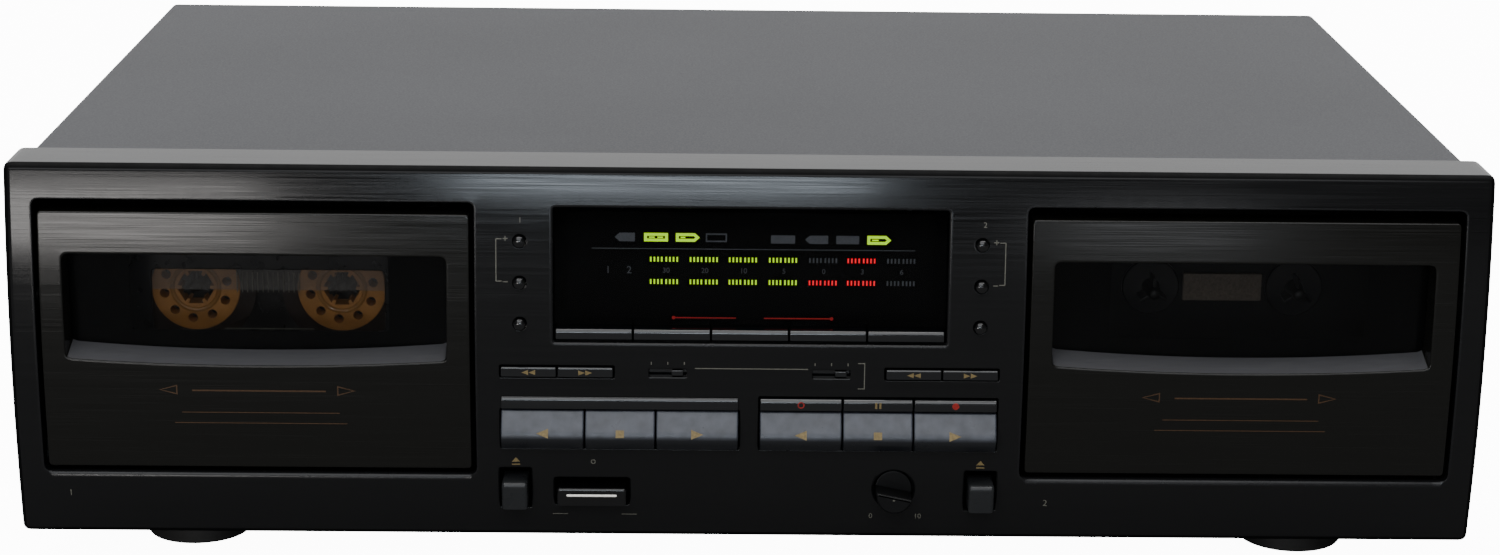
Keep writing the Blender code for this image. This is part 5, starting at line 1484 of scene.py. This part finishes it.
    def window(self) -> None:
        """The lens, and the black mask printed round its sight on the back."""
        node = f"door_window_{self.deck.value}"
        low, high = deck_box(node)
        outline = front_view(low, high, 1.0 * MM)
        lens = plate(f"door_{self.deck.value}_lens", outline, low[1], high[1] - 0.1 * MM, 0.2 * MM)
        settle(lens, LENS, self.body, "smoked_window", node)
        ends = [(self.centre + side * self.sight_half, z) for side, z in zip((-1, 1), self.sight)]
        sight = softened(box_outline(*ends), 1.2 * MM)
        mask = pierced(f"door_{self.deck.value}_mask", outline, [sight], high[1] - 0.08 * MM, high[1])
        settle(mask, MASK, self.body, "smoked_window")

    def build(self) -> None:
        """Panel, window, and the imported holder's finish."""
        self.panel()
        self.window()
        dress(f"cassette_holder_{self.deck.value}", NYLON)


@dataclass
class Cassette:
    """The cassette in deck 1: shell, window, tape reels with their hubs.

    Attributes:
        wall: The shell's thickness.
        standing: How far its two faces stand off the reels.
        edge: The radius of its edges, and of its window's.
        hollow: The width and height of its hollow, as shares of its own.
        window_half: Half the window's width.
        window: The window's lower and upper side.
        scale: The lower and upper ends of the scale's ticks, in millimetres.
        hub_hole: The radius of the shell's two holes.
        bore: A hub's bore, at its wall and at its teeth's tips.
        hub: A hub's radius.
        ring: The radius of its circle of holes.
    """

    wall: float = 1.1 * MM
    standing: float = 1.4 * MM
    edge: tuple[float, float] = (0.6 * MM, 0.5 * MM)
    hollow: tuple[float, float] = (0.93, 0.9)
    window_half: float = 33.8 * MM
    window: tuple[float, float] = (54.5 * MM, 73.0 * MM)
    scale: tuple[float, float] = (66.2, 72.2)
    hub_hole: float = 5.6 * MM
    bore: tuple[float, float] = (5.3 * MM, 4.1 * MM)
    hub: float = 12.9 * MM
    ring: float = 9.3 * MM

    def __post_init__(self) -> None:
        """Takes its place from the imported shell."""
        self.low, self.high = deck_box("cassette_shell")
        self.centre = (self.low[0] + self.high[0]) / 2
        reel_low, reel_high = deck_box("cassette_reel_left")
        self.hub_z = (reel_low[2] + reel_high[2]) / 2
        self.front, self.back = reel_low[1] - self.standing, reel_high[1] + self.standing

    def opening(self, inset: float) -> Array:
        """The window's outline, drawn in by an inset."""
        ends = [(self.centre + side * (self.window_half - inset), z - side * inset)
                for side, z in zip((-1, 1), self.window)]
        return softened(box_outline(*ends), 1.5 * MM)

    def shell(self) -> None:
        """A hollow shell with its window opening, hub holes and thicker throat."""
        shell = Shell("cassette_case")
        low, high = self.low, self.high
        outline = subdivided(front_view(low, high, 2.0 * MM), 8 * MM)
        core = np.array([self.centre, self.hub_z])
        cavity = (outline - core) * self.hollow + core
        window = self.opening(0.0)
        hubs = [circle(core + [side * HUB_HALF, 0], self.hub_hole, 40) for side in (-1, 1)]
        edge, mouth = self.edge
        outer = edge_rings(outline, -edge, edge, 3, level(self.front))
        opening = edge_rings(window, mouth, mouth, 3, level(self.front))
        shell.fill(outer[0][:, ::2], [opening[0][:, ::2]], level(self.front))
        back_edge = edge_rings(outline, -edge, -edge, 3, level(self.back))[::-1]
        shell.strip(np.concatenate([outer, back_edge]))
        shell.fill(back_edge[-1][:, ::2], hubs, level(self.back))
        inner_front, inner_back = self.front + self.wall, self.back - self.wall
        shell.strip(np.concatenate([opening, at_depth(window, inner_front)[None]]))
        shell.fill(cavity, [window], level(inner_front))
        shell.strip(np.array([at_depth(cavity, inner_front), at_depth(cavity, inner_back)]))
        shell.fill(cavity, hubs, level(inner_back))
        for hub in hubs:
            shell.strip(np.array([at_depth(hub, inner_back), at_depth(hub, self.back)]))
        throat = mm((-34, 0.3), (34, 0.3), (31, 14.5), (-31, 14.5)) + [self.centre, low[2]]
        shell.merge(plate("throat", softened(throat, 1 * MM), low[1], high[1], 0.5 * MM))
        settle(shell, LABEL, "door_1", "cassette_smoke", "cassette_shell")

    def pane(self) -> None:
        """The window's clear pane, with the scale's ticks and a rule between the hubs."""
        pane = plate("cassette_pane", self.opening(0.05 * MM), *(self.front + mm(0.35, 0.85)))
        settle(pane, SMOKE, "door_1", "cassette_smoke")
        ticks = Marks("cassette_ticks", PALE, level(self.front + 0.3 * MM), (self.centre, 0))
        for x in np.linspace(-9, 9, 13):
            ticks.rule(x, self.scale[0], x, self.scale[1], 0.3)
        ticks.done("door_1", "cassette_smoke")
        ink = Marks("cassette_line", PALE, level(self.front + 0.35 * MM), (self.centre, 0))
        ink.bar(-13, 55.0, 13, 55.25)
        ink.done("door_1", "cassette_smoke")

    def reel(self, side: str) -> None:
        """One reel: the tape pack, and the hub with its ring of holes and toothed bore."""
        node = f"cassette_reel_{side}"
        low, high = deck_box(node)
        centre = (middle_of(node)[0], self.hub_z)
        wall, tip = self.bore
        half = 0.6 * MM / wall
        angles = np.add.outer(np.arange(6) * math.tau / 6, [-half, -half, half, half]).ravel()
        radii = np.tile([wall, tip, tip, wall], 6)
        bore = centre + radii[:, None] * np.stack([np.cos(angles), np.sin(angles)], axis=1)
        holes = [
            circle(centre + self.ring * np.array([math.cos(a), math.sin(a)]), 1.35 * MM, 20)
            for a in np.arange(10) * math.tau / 10 + 0.2
        ]
        openings = [subdivided(bore, 1.5 * MM), *holes]
        rim = circle(centre, self.hub, 72)
        hub = pierced(f"{node}_hub", rim, openings, low[1], high[1], 0.3 * MM, 0.2 * MM)
        settle(hub, ORANGE, node, "reel_orange", node)
        profile = mm(
            (5.5, 2.2), (5.9, 0.2), (6.5, -0.4), (7.0, -0.45), (7.5, -0.1), (7.5, 0.4),
            (6.4, 0.4), (5.8, 2.2), (5.5, 2.2),
        )
        collar = turned(f"{node}_collar", profile + [0, low[1]], centre, 72)
        settle(collar, COLLAR, node, "reel_orange", smooth=50)
        inner, front = self.hub + 0.05 * MM, low[1] + 0.6 * MM
        profile = [
            (inner, front), (17.5 * MM, front), (17.6 * MM, front + 0.2 * MM), (17.6 * MM, high[1]),
            (inner, high[1]), (inner, front),
        ]
        settle(turned(f"{node}_tape", profile, centre, 96), TAPE, node, "reel_orange")

    def build(self) -> None:
        """Shell, pane and both reels."""
        self.shell()
        self.pane()
        for side in ("left", "right"):
            self.reel(side)


@dataclass
class Transport:
    """One deck's spindles and capstan, on its packed plate.

    Attributes:
        deck: The transport's number.
        fin: A drive fin's outline from the spindle's axis: its two corners.
        fin_front: The y of the fins' front.
        rim: The y of the flywheel's front.
        patch: Half the sight patch's width and height.
    """

    deck: Deck
    fin: tuple[tuple[float, float], ...] = ((0.85 * MM, -0.45 * MM), (4.6 * MM, 0.45 * MM))
    fin_front: float = 25.1 * MM
    rim: float = 36.8 * MM
    patch: tuple[float, float] = (11.6 * MM, 4.1 * MM)

    def __post_init__(self) -> None:
        """Takes the middle between the spindles from the door and the reel's height."""
        door, reel = middle_of(f"door_panel_{self.deck.value}"), middle_of("cassette_reel_left")
        self.middle = np.array([door[0], reel[2]])

    def spindle(self, side: int, name: str) -> None:
        """Table, tapered post with a rounded tip, shaft and three drive fins."""
        node = f"reel_spindle_{self.deck.value}_{name}"
        low, high = deck_box(node)
        axis = self.middle + [side * HUB_HALF, 0]
        turn = np.linspace(0, math.pi / 2, 6)
        dome = np.stack([1.7 * MM * np.sin(turn), low[1] + 1.0 * MM * (1 - np.cos(turn))], axis=1)
        table = mm((2.7, 0), (8.1, 0), (8.5, 0.4), (8.5, 1.5), (1.5, 1.5)) + [0, SPINDLE_TABLE]
        shell = turned(f"{node}_post", [*dome, *table, (1.5 * MM, high[1]), (0, high[1])], axis, 40)
        outline = softened(box_outline(*self.fin), 0.3 * MM)
        for angle in math.tau * (np.arange(3) + 0.25) / 3:
            around = outline @ turn_by(angle)[:2, :2] + axis
            shell.merge(plate("fin", around, self.fin_front, SPINDLE_TABLE + 0.7 * MM, 0.3 * MM))
        settle(shell, SPINDLE, node, "nylon_black", node)

    def flywheel(self) -> None:
        """Capstan, turned wheel with a channel in its rim, and hub."""
        node = f"capstan_flywheel_{self.deck.value}"
        front, back = (corner[1] for corner in deck_box(node))
        capstan = [(0, front), (0.8 * MM, front), (1.0 * MM, front + 0.3 * MM)]
        wheel = mm(
            (1.0, 0), (16.5, 0), (17, 0.5), (17, 1.4), (16.4, 1.7), (16.4, 2.5), (17, 2.8),
            (17, 3.6), (16.6, 4), (3.2, 4),
        ) + [0, self.rim]
        profile = [*capstan, *wheel, (3.2 * MM, back), (0, back)]
        wheel = turned(f"{node}_wheel", profile, middle_of(node)[::2], 96)
        settle(wheel, BRASS, node, "flywheel_brass", node)

    def build(self) -> None:
        """Both spindles, the flywheel, the plate's finish and the patch that shows on it."""
        for side, name in ((-1, "left"), (1, "right")):
            self.spindle(side, name)
        self.flywheel()
        dress(f"transport_plate_{self.deck.value}", DARK_STEEL)
        ends = [
            (self.middle[0] + side * self.patch[0], y, self.middle[1] + side * self.patch[1])
            for side, y in ((-1, SPINDLE_TABLE), (1, SPINDLE_TABLE + 1.7 * MM))
        ]
        patch = brick(f"sight_patch_{self.deck.value}", *ends, 0.3 * MM)
        settle(patch, PATCH, "root", "zinc_steel")


@dataclass
class Display:
    """The glass, and the lit and unlit shapes of the tube behind it, in millimetres.

    Attributes:
        groups: The left ends of the groups of level bars.
        pitch: The distance between the bars of a group.
        rows: Each channel's lower and upper edge, and which groups are lit in what colour.
        scale: The numerals between the channels, and where they stand.
        figure: The height of those numerals' middles.
    """

    groups: tuple[float, ...] = (-28.6, -17.3, -6.2, 5.2, 16.6, 27.5, 38.8)
    pitch: float = 8.3 / 8
    rows: tuple[tuple[float, float, str], ...] = ((82.0, 83.4, "LLLL.R."), (75.4, 76.8, "LLLLRR."))
    scale: tuple[tuple[str, float], ...] = (
        ("30", -24), ("20", -13), ("10", -2), ("5", 9.5), ("0", 20.8), ("3", 31.8), ("6", 43),
    )
    figure: float = 79.4

    def glass(self) -> None:
        """A clear plate that follows the front, set back from it."""
        low, high = deck_box("display_window")
        z = np.linspace(low[2], high[2], 9)
        front = np.stack([face_y(z) + 1.0 * MM, z], axis=1)
        side = np.concatenate([front[::-1], front + [1.6 * MM, 0]])
        pane = prism("display_glass", side, low[0], high[0], 0.05 * MM, 1)
        settle(pane, GLASS, "root", "smoked_window", "display_window")

    def indicators(self, lime: Marks, dim: Marks) -> None:
        """The row of lit and unlit signs above the levels, and the rule under them."""
        dim.arrow_box(-38.6, 87.9, -32.9, 90.4, -1)
        lime.bar(-30.3, 87.9, -23.5, 90.4, 0.85)
        lime.bar(-28.9, 88.95, -27.3, 89.35)
        lime.bar(-26.5, 88.95, -24.9, 89.35)
        lime.arrow_box(-21.3, 87.9, -14.5, 90.4, 1, 0.85)
        lime.bar(-19.9, 88.95, -18.6, 89.35)
        dim.bar(-12.8, 87.9, -6.8, 90.4, 0.4)
        dim.bar(5.7, 87.6, 12.5, 90.0)
        dim.arrow_box(15.4, 87.6, 21.9, 90.0, -1)
        dim.bar(24.2, 87.6, 30.7, 90.0)
        lime.arrow_box(33.0, 87.5, 39.8, 90.1, 1, 0.85)
        lime.bar(34.4, 88.6, 36.2, 89.0)
        dim.bar(-45.1, 85.7, 46.7, 85.9)

    def build(self) -> None:
        """The glass, the level rows and the indicators."""
        self.glass()
        surface = level(deck_box("display_module")[0][1] - 0.02 * MM)
        kinds = (("lime", LIME), ("red", RED), ("unlit", UNLIT_PAINTED_GLOW), ("red_line", COPY_RED))
        lime, red, dim, line = [Marks(f"display_{name}", lamp, surface) for name, lamp in kinds]
        pens = {"L": lime, "R": red, ".": dim}
        for low, high, states in self.rows:
            for left, state in zip(self.groups, states):
                for index in range(8):
                    x = left + index * self.pitch + (0.25 if index > 3 else 0)
                    pens[state].bar(x, low, x + 0.45, high)
        for text, x in (("1", -40.5), ("2", -34.5)):
            dim.numeral(text, 3.0, x, self.figure)
        for text, x in self.scale:
            dim.numeral(text, 2.1, x, self.figure)
        self.indicators(lime, dim)
        for near, far, end in ((-4, -21.4, -21.8), (4, 22.9, 23.3)):
            line.rule(near, 65.45, far, 65.45, 0.3)
            line.ring(end, 65.45, 0.5)
        for marks in (lime, red, dim, line):
            marks.done("root", "board_green")
        dress("display_module", MASK)


@dataclass
class Prints:
    """The marks on the front and on the keys: plain symbols, rules and numerals.

    Attributes:
        line: The width of the thin rules, in millimetres.
    """

    line: float = 0.28

    def on_key(self, node: str, ink: Finish, row: Row, height: float) -> Marks:
        """Empty marks on a key, with their middle at its middle and a height in millimetres."""
        return Marks(f"{node}_mark", ink, row.lift, (middle_of(node)[0], height * MM))

    def key_symbols(self) -> None:
        """Arrows and squares on the transport and wind keys, record signs on the strips."""
        for deck in Deck:
            for name, way in (("reverse_play_key", -1), ("stop_key", 0), ("play_key", 1)):
                node = f"{name}_{deck.value}"
                marks = self.on_key(node, GOLD, TRANSPORT, 33.4)
                if way:
                    marks.triangle(0, 0, 3.4, 2.6, way)
                else:
                    marks.bar(-1.2, -1.0, 1.2, 1.0)
                marks.done(node, "key_grey")
            for name, way in (("rewind_key", -1), ("forward_key", 1)):
                node = f"{name}_{deck.value}"
                marks = self.on_key(node, GOLD, WIND, 51.0)
                for x in (-1.0, 1.0):
                    marks.triangle(x, 0, 1.9, 1.5, way)
                marks.done(node, "key_grey")
        for node, ink in (("record_mute_key", RED_INK), ("pause_key", GOLD), ("record_key", RED_INK)):
            marks = self.on_key(node, ink, STRIPS, 41.8)
            if node == "pause_key":
                for x in (-0.6, 0.6):
                    marks.bar(x - 0.3, -0.9, x + 0.3, 0.9)
            else:
                marks.ring(0, 0, 1.0, 0.35 if node == "record_mute_key" else 0)
            marks.done(node, "strip_grey")

    def door_lines(self) -> None:
        """Direction arrows and plain rules under each window."""
        for deck in Deck:
            centre = (middle_of(f"door_panel_{deck.value}")[0], 0)
            marks = Marks(f"door_{deck.value}_print", AMBER, front_lift, centre)
            for way in (-1, 1):
                marks.triangle(way * 25.3, 44.7, 5.2, 3.0, way, 0.35)
            marks.bar(-18.5, 44.3, 19.5, 44.75)
            marks.bar(-21.6, 37.8, 23.2, 38.05)
            marks.bar(-23.8, 34.6, 25.3, 34.85)
            marks.done(f"door_{deck.value}", "door_black")

    def beside(self, side: int, pale: Marks, gold: Marks) -> None:
        """One deck's bracket and signs beside its round buttons, and its eject sign."""
        x, line = side * 71.9, self.line
        pale.rule(x, 77.5, x, 89.6, line)
        for z in (77.5, 89.6):
            pale.rule(x, z, x - side * 1.6, z, line)
        for z in (77.3, 89.7):
            pale.rule(side * 70.0, z, side * 68.6, z, line)
        pale.rule(side * 69.3, 89.0, side * 69.3, 90.4, line)
        x = side * 66.8
        gold.shape([[x - 1.2, 23.4], [x + 1.2, 23.4], [x, 24.8]])
        gold.bar(x - 1.2, 22.4, x + 1.2, 22.8)

    def panel(self) -> None:
        """Rules, brackets, symbols and numerals on the bezel."""
        pale = Marks("panel_print_pale", PALE, front_lift)
        gold = Marks("panel_print_gold", GOLD, front_lift)
        line = self.line
        for side in (-1, 1):
            self.beside(side, pale, gold)
        pale.bar(-15.6, 52.2, 16.6, 52.2 + line)
        pale.bar(32.9 - line, 46.6, 32.9, 54.2)
        for z in (46.6, 54.2):
            pale.rule(30.9, z, 32.9, z, line)
        for x in (-28.0, -23.3, -18.6, 18.6, 23.3, 28.0):
            pale.rule(x, 53.4, x, 54.2, line)
        for text, tall, x, z in (
            ("1", 2.2, -65.1, 94.9), ("2", 2.2, 66.0, 94.6), ("1", 2.8, -195.0, 12.5),
            ("2", 2.8, 86.0, 11.5), ("0", 2.2, 35.6, 7.0), ("10", 2.2, 49.2, 7.0),
        ):
            pale.numeral(text, tall, x, z)
        pale.ring(-44.6, 23.6, 0.7, line)
        for x0, x1 in ((-56.4, -52), (-36.5, -32.1)):
            pale.bar(x0, 6.9, x1, 7.1)
        pale.done("root", "bezel_black")
        gold.done("root", "bezel_black")

    def build(self) -> None:
        """Every mark."""
        self.key_symbols()
        self.door_lines()
        self.panel()


@dataclass
class Case:
    """The cover, feet and rear, and the finishes of what stays packed inside.

    Attributes:
        sheet: The thickness of the cover and the rear.
        fold: The outer radius of the cover's folds.
        burr: The rounding of its front edge.
        cut: The rounding of its lower edges.
        jacks: The signal jacks' places across, seen from the front.
        jack_height: Their height.
    """

    sheet: float = 1.2 * MM
    fold: float = 2.4 * MM
    burr: float = 0.25 * MM
    cut: float = 0.3 * MM
    jacks: tuple[float, ...] = (-150.0 * MM, -131.0 * MM, -103.0 * MM, -84.0 * MM)
    jack_height: float = 30.0 * MM

    def __post_init__(self) -> None:
        """Takes the y of the rear's outer face from the chassis."""
        self.face = deck_box("chassis_base")[1][1] + 1.5 * MM

    def cover(self) -> None:
        """A folded sheet: its U outline carried from the bezel to the rear."""
        low, high = deck_box("top_cover")
        (half, _, top), foot = high, low[2]
        inner, ceiling = half - self.sheet, top - self.sheet
        corners = np.array([
            [half, foot], [half, top], [-half, top], [-half, foot],
            [-inner, foot], [-inner, ceiling], [inner, ceiling], [inner, foot],
        ])
        cut, fold, tight = self.cut, self.fold, self.fold - self.sheet
        outline = softened(corners, np.array([cut, fold, fold, cut, cut, tight, tight, cut]), 6)
        rings = edge_rings(outline, -self.burr, self.burr, 3, level(low[1]))
        rings = np.concatenate([rings, at_depth(outline, high[1])[None]])
        shell = Shell("case_cover")
        shell.strip(rings)
        half_way = len(outline) // 2
        for ring in (rings[0], rings[-1]):
            shell.strip(np.array([ring[:half_way], ring[half_way:][::-1]]), closed=False)
        settle(shell, COVER, "root", "cover_charcoal", "top_cover", smooth=28)

    def screw(self, name: str, centre: Sequence[float], turn: float, slot: str) -> None:
        """A pan head with a cross recess, turned about z from facing -y.

        Args:
            name: The piece's name.
            centre: The middle of the head's seat.
            turn: The angle about z.
            slot: The record's material slot.
        """
        arm, reach = 0.5 * MM, 1.7 * MM
        cross = np.array([
            [arm, arm], [reach, arm], [reach, -arm], [arm, -arm], [arm, -reach], [-arm, -reach],
            [-arm, -arm], [-reach, -arm], [-reach, arm], [-arm, arm], [-arm, reach], [arm, reach],
        ])[::-1]
        head = pierced(name, circle((0, 0), 3.4 * MM, 40), [cross], *mm(-1.6, 0.0, 1.0, 0.1))
        head.merge(plate("floor", circle((0, 0), 3.0 * MM, 24), *mm(-0.5, -0.02)))
        spin = np.array(Matrix.Rotation(turn, 3, "Z"))
        head.points = [points @ spin.T + centre for points in head.points]
        settle(head, SCREW, "root", slot)

    def screws(self) -> None:
        """Two on each side of the cover and four on the rear."""
        half = deck_box("top_cover")[1][0]
        for side, name in ((-1, "left"), (1, "right")):
            for number, y in enumerate(mm(70, 196), start=1):
                centre = (side * half, y, 40 * MM)
                self.screw(f"side_screw_{name}_{number}", centre, side * math.pi / 2, "cover_charcoal")
        for number, (x, z) in enumerate(mm((-190, 95), (0, 95), (190, 95), (60, 12)), start=1):
            self.screw(f"rear_screw_{number}", (x, self.face, z), math.pi, "zinc_steel")

    def feet(self) -> None:
        """Round feet with a softened edge and a raised ring to stand on."""
        for place in ("front_left", "front_right", "rear_left", "rear_right"):
            node = f"foot_{place}"
            low, high = deck_box(node)
            r = (high[0] - low[0]) / 2
            ring = [(0, 1.5 * MM), (r * 0.55, 1.5 * MM), (r * 0.6, 0.2 * MM), (r * 0.63, 0)]
            side = mm((-1.6, 0), (-0.9, 0.25), (-0.4, 0.9), (-0.3, 7), (0, 7.4)) + [r, 0]
            profile = np.array([*ring, *side, (r, high[2] - low[2]), (0, high[2] - low[2])]) + [0, low[2]]
            foot = turned(f"{node}_pad", profile, middle_of(node)[:2], 72, True)
            settle(foot, FOOT, "root", "foot_black", node)

    def sheet_metal(self) -> None:
        """The rear sheet with the inlet's hole, and the block that holds the jacks."""
        low, high = deck_box("rear_panel")
        inlet_low, inlet_high = deck_box("mains_inlet")
        hole = box_outline(inlet_low[::2] + 2.7 * MM, inlet_high[::2] - 2.7 * MM)
        outline, hole = front_view(low, high, 0.5 * MM), softened(hole, 0.5 * MM)
        sheet = pierced("rear_sheet", outline, [hole], -self.face, -self.face + self.sheet)
        sheet.points = [points * [1, -1, 1] for points in sheet.points]
        ends = (
            (self.jacks[0] - 10 * MM, self.face - 12 * MM, self.jack_height - 10 * MM),
            (self.jacks[-1] + 10 * MM, self.face - 0.6 * MM, self.jack_height + 10 * MM),
        )
        sheet.merge(brick("jack_block", *ends, 0.5 * MM))
        settle(sheet, REAR, "root", "zinc_steel", "rear_panel")

    def sockets(self) -> None:
        """The jacks with coloured collars and a numeral for each pair, and the inlet's pins."""
        face, tip = self.face, deck_box("rear_panel")[1][1]
        collar = mm((3.4, -0.4), (6.2, -0.4), (6.2, 1.2), (5.9, 1.5), (3.4, 1.5), (3.4, -0.4)) + [0, face]
        barrel = mm((4.2, -0.3), (3.9, 0), (3.4, 0), (3.2, -0.3), (1.6, -0.8)) + [0, tip]
        floor = mm((1.6, 0.5), (0, 0.5), (0, -0.3)) + [0, face]
        sleeve = [(4.2 * MM, face - 0.3 * MM), *barrel, *floor]
        numbers = Marks("rear_numerals", PALE, level(0))
        for number, x in enumerate(self.jacks, start=1):
            centre = (x, self.jack_height)
            ring = turned(f"jack_collar_{number}", collar, centre, 48)
            settle(ring, SOCKET_WHITE if number % 2 else SOCKET_RED, "root", "nylon_black")
            settle(turned(f"jack_sleeve_{number}", sleeve, centre, 48), PLATED, "root", "zinc_steel")
            numbers.numeral(str((number + 1) // 2), 4, -x / MM, 42)
        shell = numbers.shell
        shell.points = [points * [-1, -1, 1] + [0, face, 0] for points in shell.points]
        numbers.done("root", "zinc_steel")
        middle = middle_of("mains_inlet")[::2]
        pin = mm((0, -9.5), (1.2, -9.5), (1.2, -0.6), (0.6, 0), (0, 0)) + [0, face]
        for number, shift in enumerate(mm(-3.2, 3.2), start=1):
            prong = turned(f"inlet_pin_{number}", pin, middle + [shift, 0], 24)
            settle(prong, PLATED, "root", "zinc_steel")

    def build(self) -> None:
        """Cover, screws, feet and rear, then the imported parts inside."""
        self.cover()
        self.screws()
        self.feet()
        self.sheet_metal()
        self.sockets()
        dress("chassis_base", ZINC)
        dress("main_board", BOARD)
        dress("power_transformer", LAMINATION)
        dress("mains_inlet", NYLON)


@dataclass(frozen=True)
class Panel:
    """A soft rectangular light that looks at the deck."""

    name: str
    at: tuple[float, float, float]
    toward: tuple[float, float, float]
    size: tuple[float, float]
    power: float
    tint: Colour = (1, 1, 1)


@dataclass
class Studio:
    """White floor, soft lights and the camera at the photograph's place.

    Attributes:
        focal: The photograph's focal length in its pixels.
        width: The photograph's width in its pixels.
        sensor: The width that the focal length is scaled to, in millimetres.
        pitch: The camera's turn downward, in radians, with yaw and roll.
        at: The camera's place.
        floor_dim: The floor's tone in what the front reflects.
        floor_glow: How bright the floor is to the camera.
        backdrop: How bright the world is to the camera.
        fill: The even light that it gives to everything else.
        panels: The lights.
    """

    focal: float = 2971.2
    width: float = 1500.0
    sensor: float = 36.0
    pitch: float = -0.2740
    yaw: float = -0.014176
    roll: float = 0.012603
    at: tuple[float, float, float] = (-0.01167, -0.93373, 0.31822)
    floor_half: float = 12.0
    floor_dim: float = 0.14
    floor_glow: float = 12.0
    backdrop: float = 13.0
    fill: float = 0.10
    panels: tuple[Panel, ...] = (
        Panel("overhead", (0.0, 0.0, 2.0), (0, 0.0, 0), (2.6, 1.6), 63.0),
        Panel("behind", (0.0, 2.4, 0.85), (0, 0, 0.1), (4.0, 1.5), 18.5),
        Panel("front_high", (-0.3, -1.9, 1.6), (0, 0, 0.05), (2.2, 1.3), 25.0, (0.95, 0.97, 1.0)),
        Panel("front_mid", (-0.15, -2.3, 0.75), (0, 0, 0.06), (1.8, 0.5), 4.0, (0.95, 0.97, 1.0)),
        Panel("low_left", (-0.38, -1.0, 0.078), (-0.38, 0, 0.078), (0.22, 0.125), 1.05, (1, 0.97, 0.95)),
        Panel("low_middle", (-0.04, -1.0, 0.155), (-0.04, 0, 0.155), (0.24, 0.05), 0.58, (0.80, 0.90, 1)),
        Panel("low_right", (0.245, -1.0, 0.07), (0.245, 0, 0.07), (0.11, 0.1), 0.10, (0.92, 0.95, 1)),
    )

    def place(self, item: bpy.types.ID, turn: Array, at: Sequence[float]) -> bpy.types.Object:
        """Puts a camera or a light in the scene, turned by a matrix."""
        thing = bpy.data.objects.new(item.name, item)
        bpy.context.scene.collection.objects.link(thing)
        thing.matrix_world = Matrix.Translation(at) @ Matrix(turn.tolist()).to_4x4()
        return thing

    def camera(self) -> None:
        """The camera's turn is roll times pitch times the view's base times yaw."""
        base = np.array([[1, 0, 0], [0, 0, -1], [0, 1, 0]])
        turn = turn_by(self.roll) @ turn_by(-self.pitch, 0) @ base @ turn_by(-self.yaw)
        turn = turn.T @ np.diag([1, -1, -1])
        data = bpy.data.cameras.new("camera")
        data.sensor_width = self.sensor
        data.lens = self.focal / self.width * self.sensor
        bpy.context.scene.camera = self.place(data, turn, self.at)

    def light(self, panel: Panel) -> None:
        """One soft rectangle, turned to look at its target."""
        data = bpy.data.lights.new(panel.name, "AREA")
        data.shape, data.size, data.size_y = "RECTANGLE", *panel.size
        data.energy, data.color = panel.power, panel.tint
        away = np.array(panel.at) - np.array(panel.toward)
        away /= np.linalg.norm(away)
        side = np.cross([0, 0, 1], away) if abs(away[2]) < 0.99 else np.array([1.0, 0, 0])
        side /= np.linalg.norm(side)
        self.place(data, np.stack([side, np.cross(away, side), away], axis=1), panel.at)

    def world(self) -> None:
        """White to the camera, and a dimmer even light to everything else."""
        world = bpy.data.worlds.new("studio")
        world.use_nodes = True
        tree = world.node_tree
        shown, fill = tree.nodes["Background"], tree.nodes.new("ShaderNodeBackground")
        for node, colour, strength in (
            (shown, (1, 1, 1, 1), self.backdrop), (fill, (0.95, 0.97, 1, 1), self.fill)
        ):
            node.inputs["Color"].default_value = colour
            node.inputs["Strength"].default_value = strength
        path = tree.nodes.new("ShaderNodeLightPath")
        mix = tree.nodes.new("ShaderNodeMixShader")
        tree.links.new(path.outputs["Is Camera Ray"], mix.inputs["Fac"])
        tree.links.new(fill.outputs["Background"], mix.inputs[1])
        tree.links.new(shown.outputs["Background"], mix.inputs[2])
        tree.links.new(mix.outputs["Shader"], tree.nodes["World Output"].inputs["Surface"])
        bpy.context.scene.world = world

    def paper(self) -> bpy.types.Material:
        """White where the camera sees it, and dimmer in what the dark front reflects."""
        recipe = Recipe("floor_paper")
        path = recipe.node("LightPath").outputs["Is Camera Ray"]
        recipe.colour(path, (self.floor_dim,) * 3, (0.9,) * 3)
        glow = recipe.node("Math")
        glow.operation = "MULTIPLY"
        glow.inputs[1].default_value = self.floor_glow
        recipe.link(path, glow.inputs[0])
        recipe.link(glow.outputs["Value"], recipe.shader.inputs["Emission Strength"])
        recipe.set(Emission_Color=(1, 1, 1, 1), Roughness=0.9, Specular_IOR_Level=0.1)
        return recipe.made

    def floor(self) -> None:
        """A wide pale sheet under the feet."""
        mesh = bpy.data.meshes.new("floor")
        corners = box_outline((-self.floor_half,) * 2, (self.floor_half,) * 2)
        mesh.from_pydata(np.column_stack([corners, np.zeros(4)]).tolist(), [], [(0, 1, 2, 3)])
        mesh.materials.append(self.paper())
        floor = bpy.data.objects.new("floor", mesh)
        bpy.context.scene.collection.objects.link(floor)

    def build(self) -> None:
        """Camera, lights, world and floor."""
        self.camera()
        self.world()
        self.floor()
        for panel in self.panels:
            self.light(panel)


def main() -> None:
    """Builds the studio and the deck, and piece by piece."""
    logging.basicConfig(level=logging.INFO, format="%(name)s: %(message)s")
    for part in (Studio(), FrontPanel(), Keys(), Controls(), Cassette()):
        part.build()
    for deck in Deck:
        Door(deck).build()
        Transport(deck).build()
    for part in (Display(), Prints(), Case()):
        part.build()


if __name__ == "__main__":
    main()
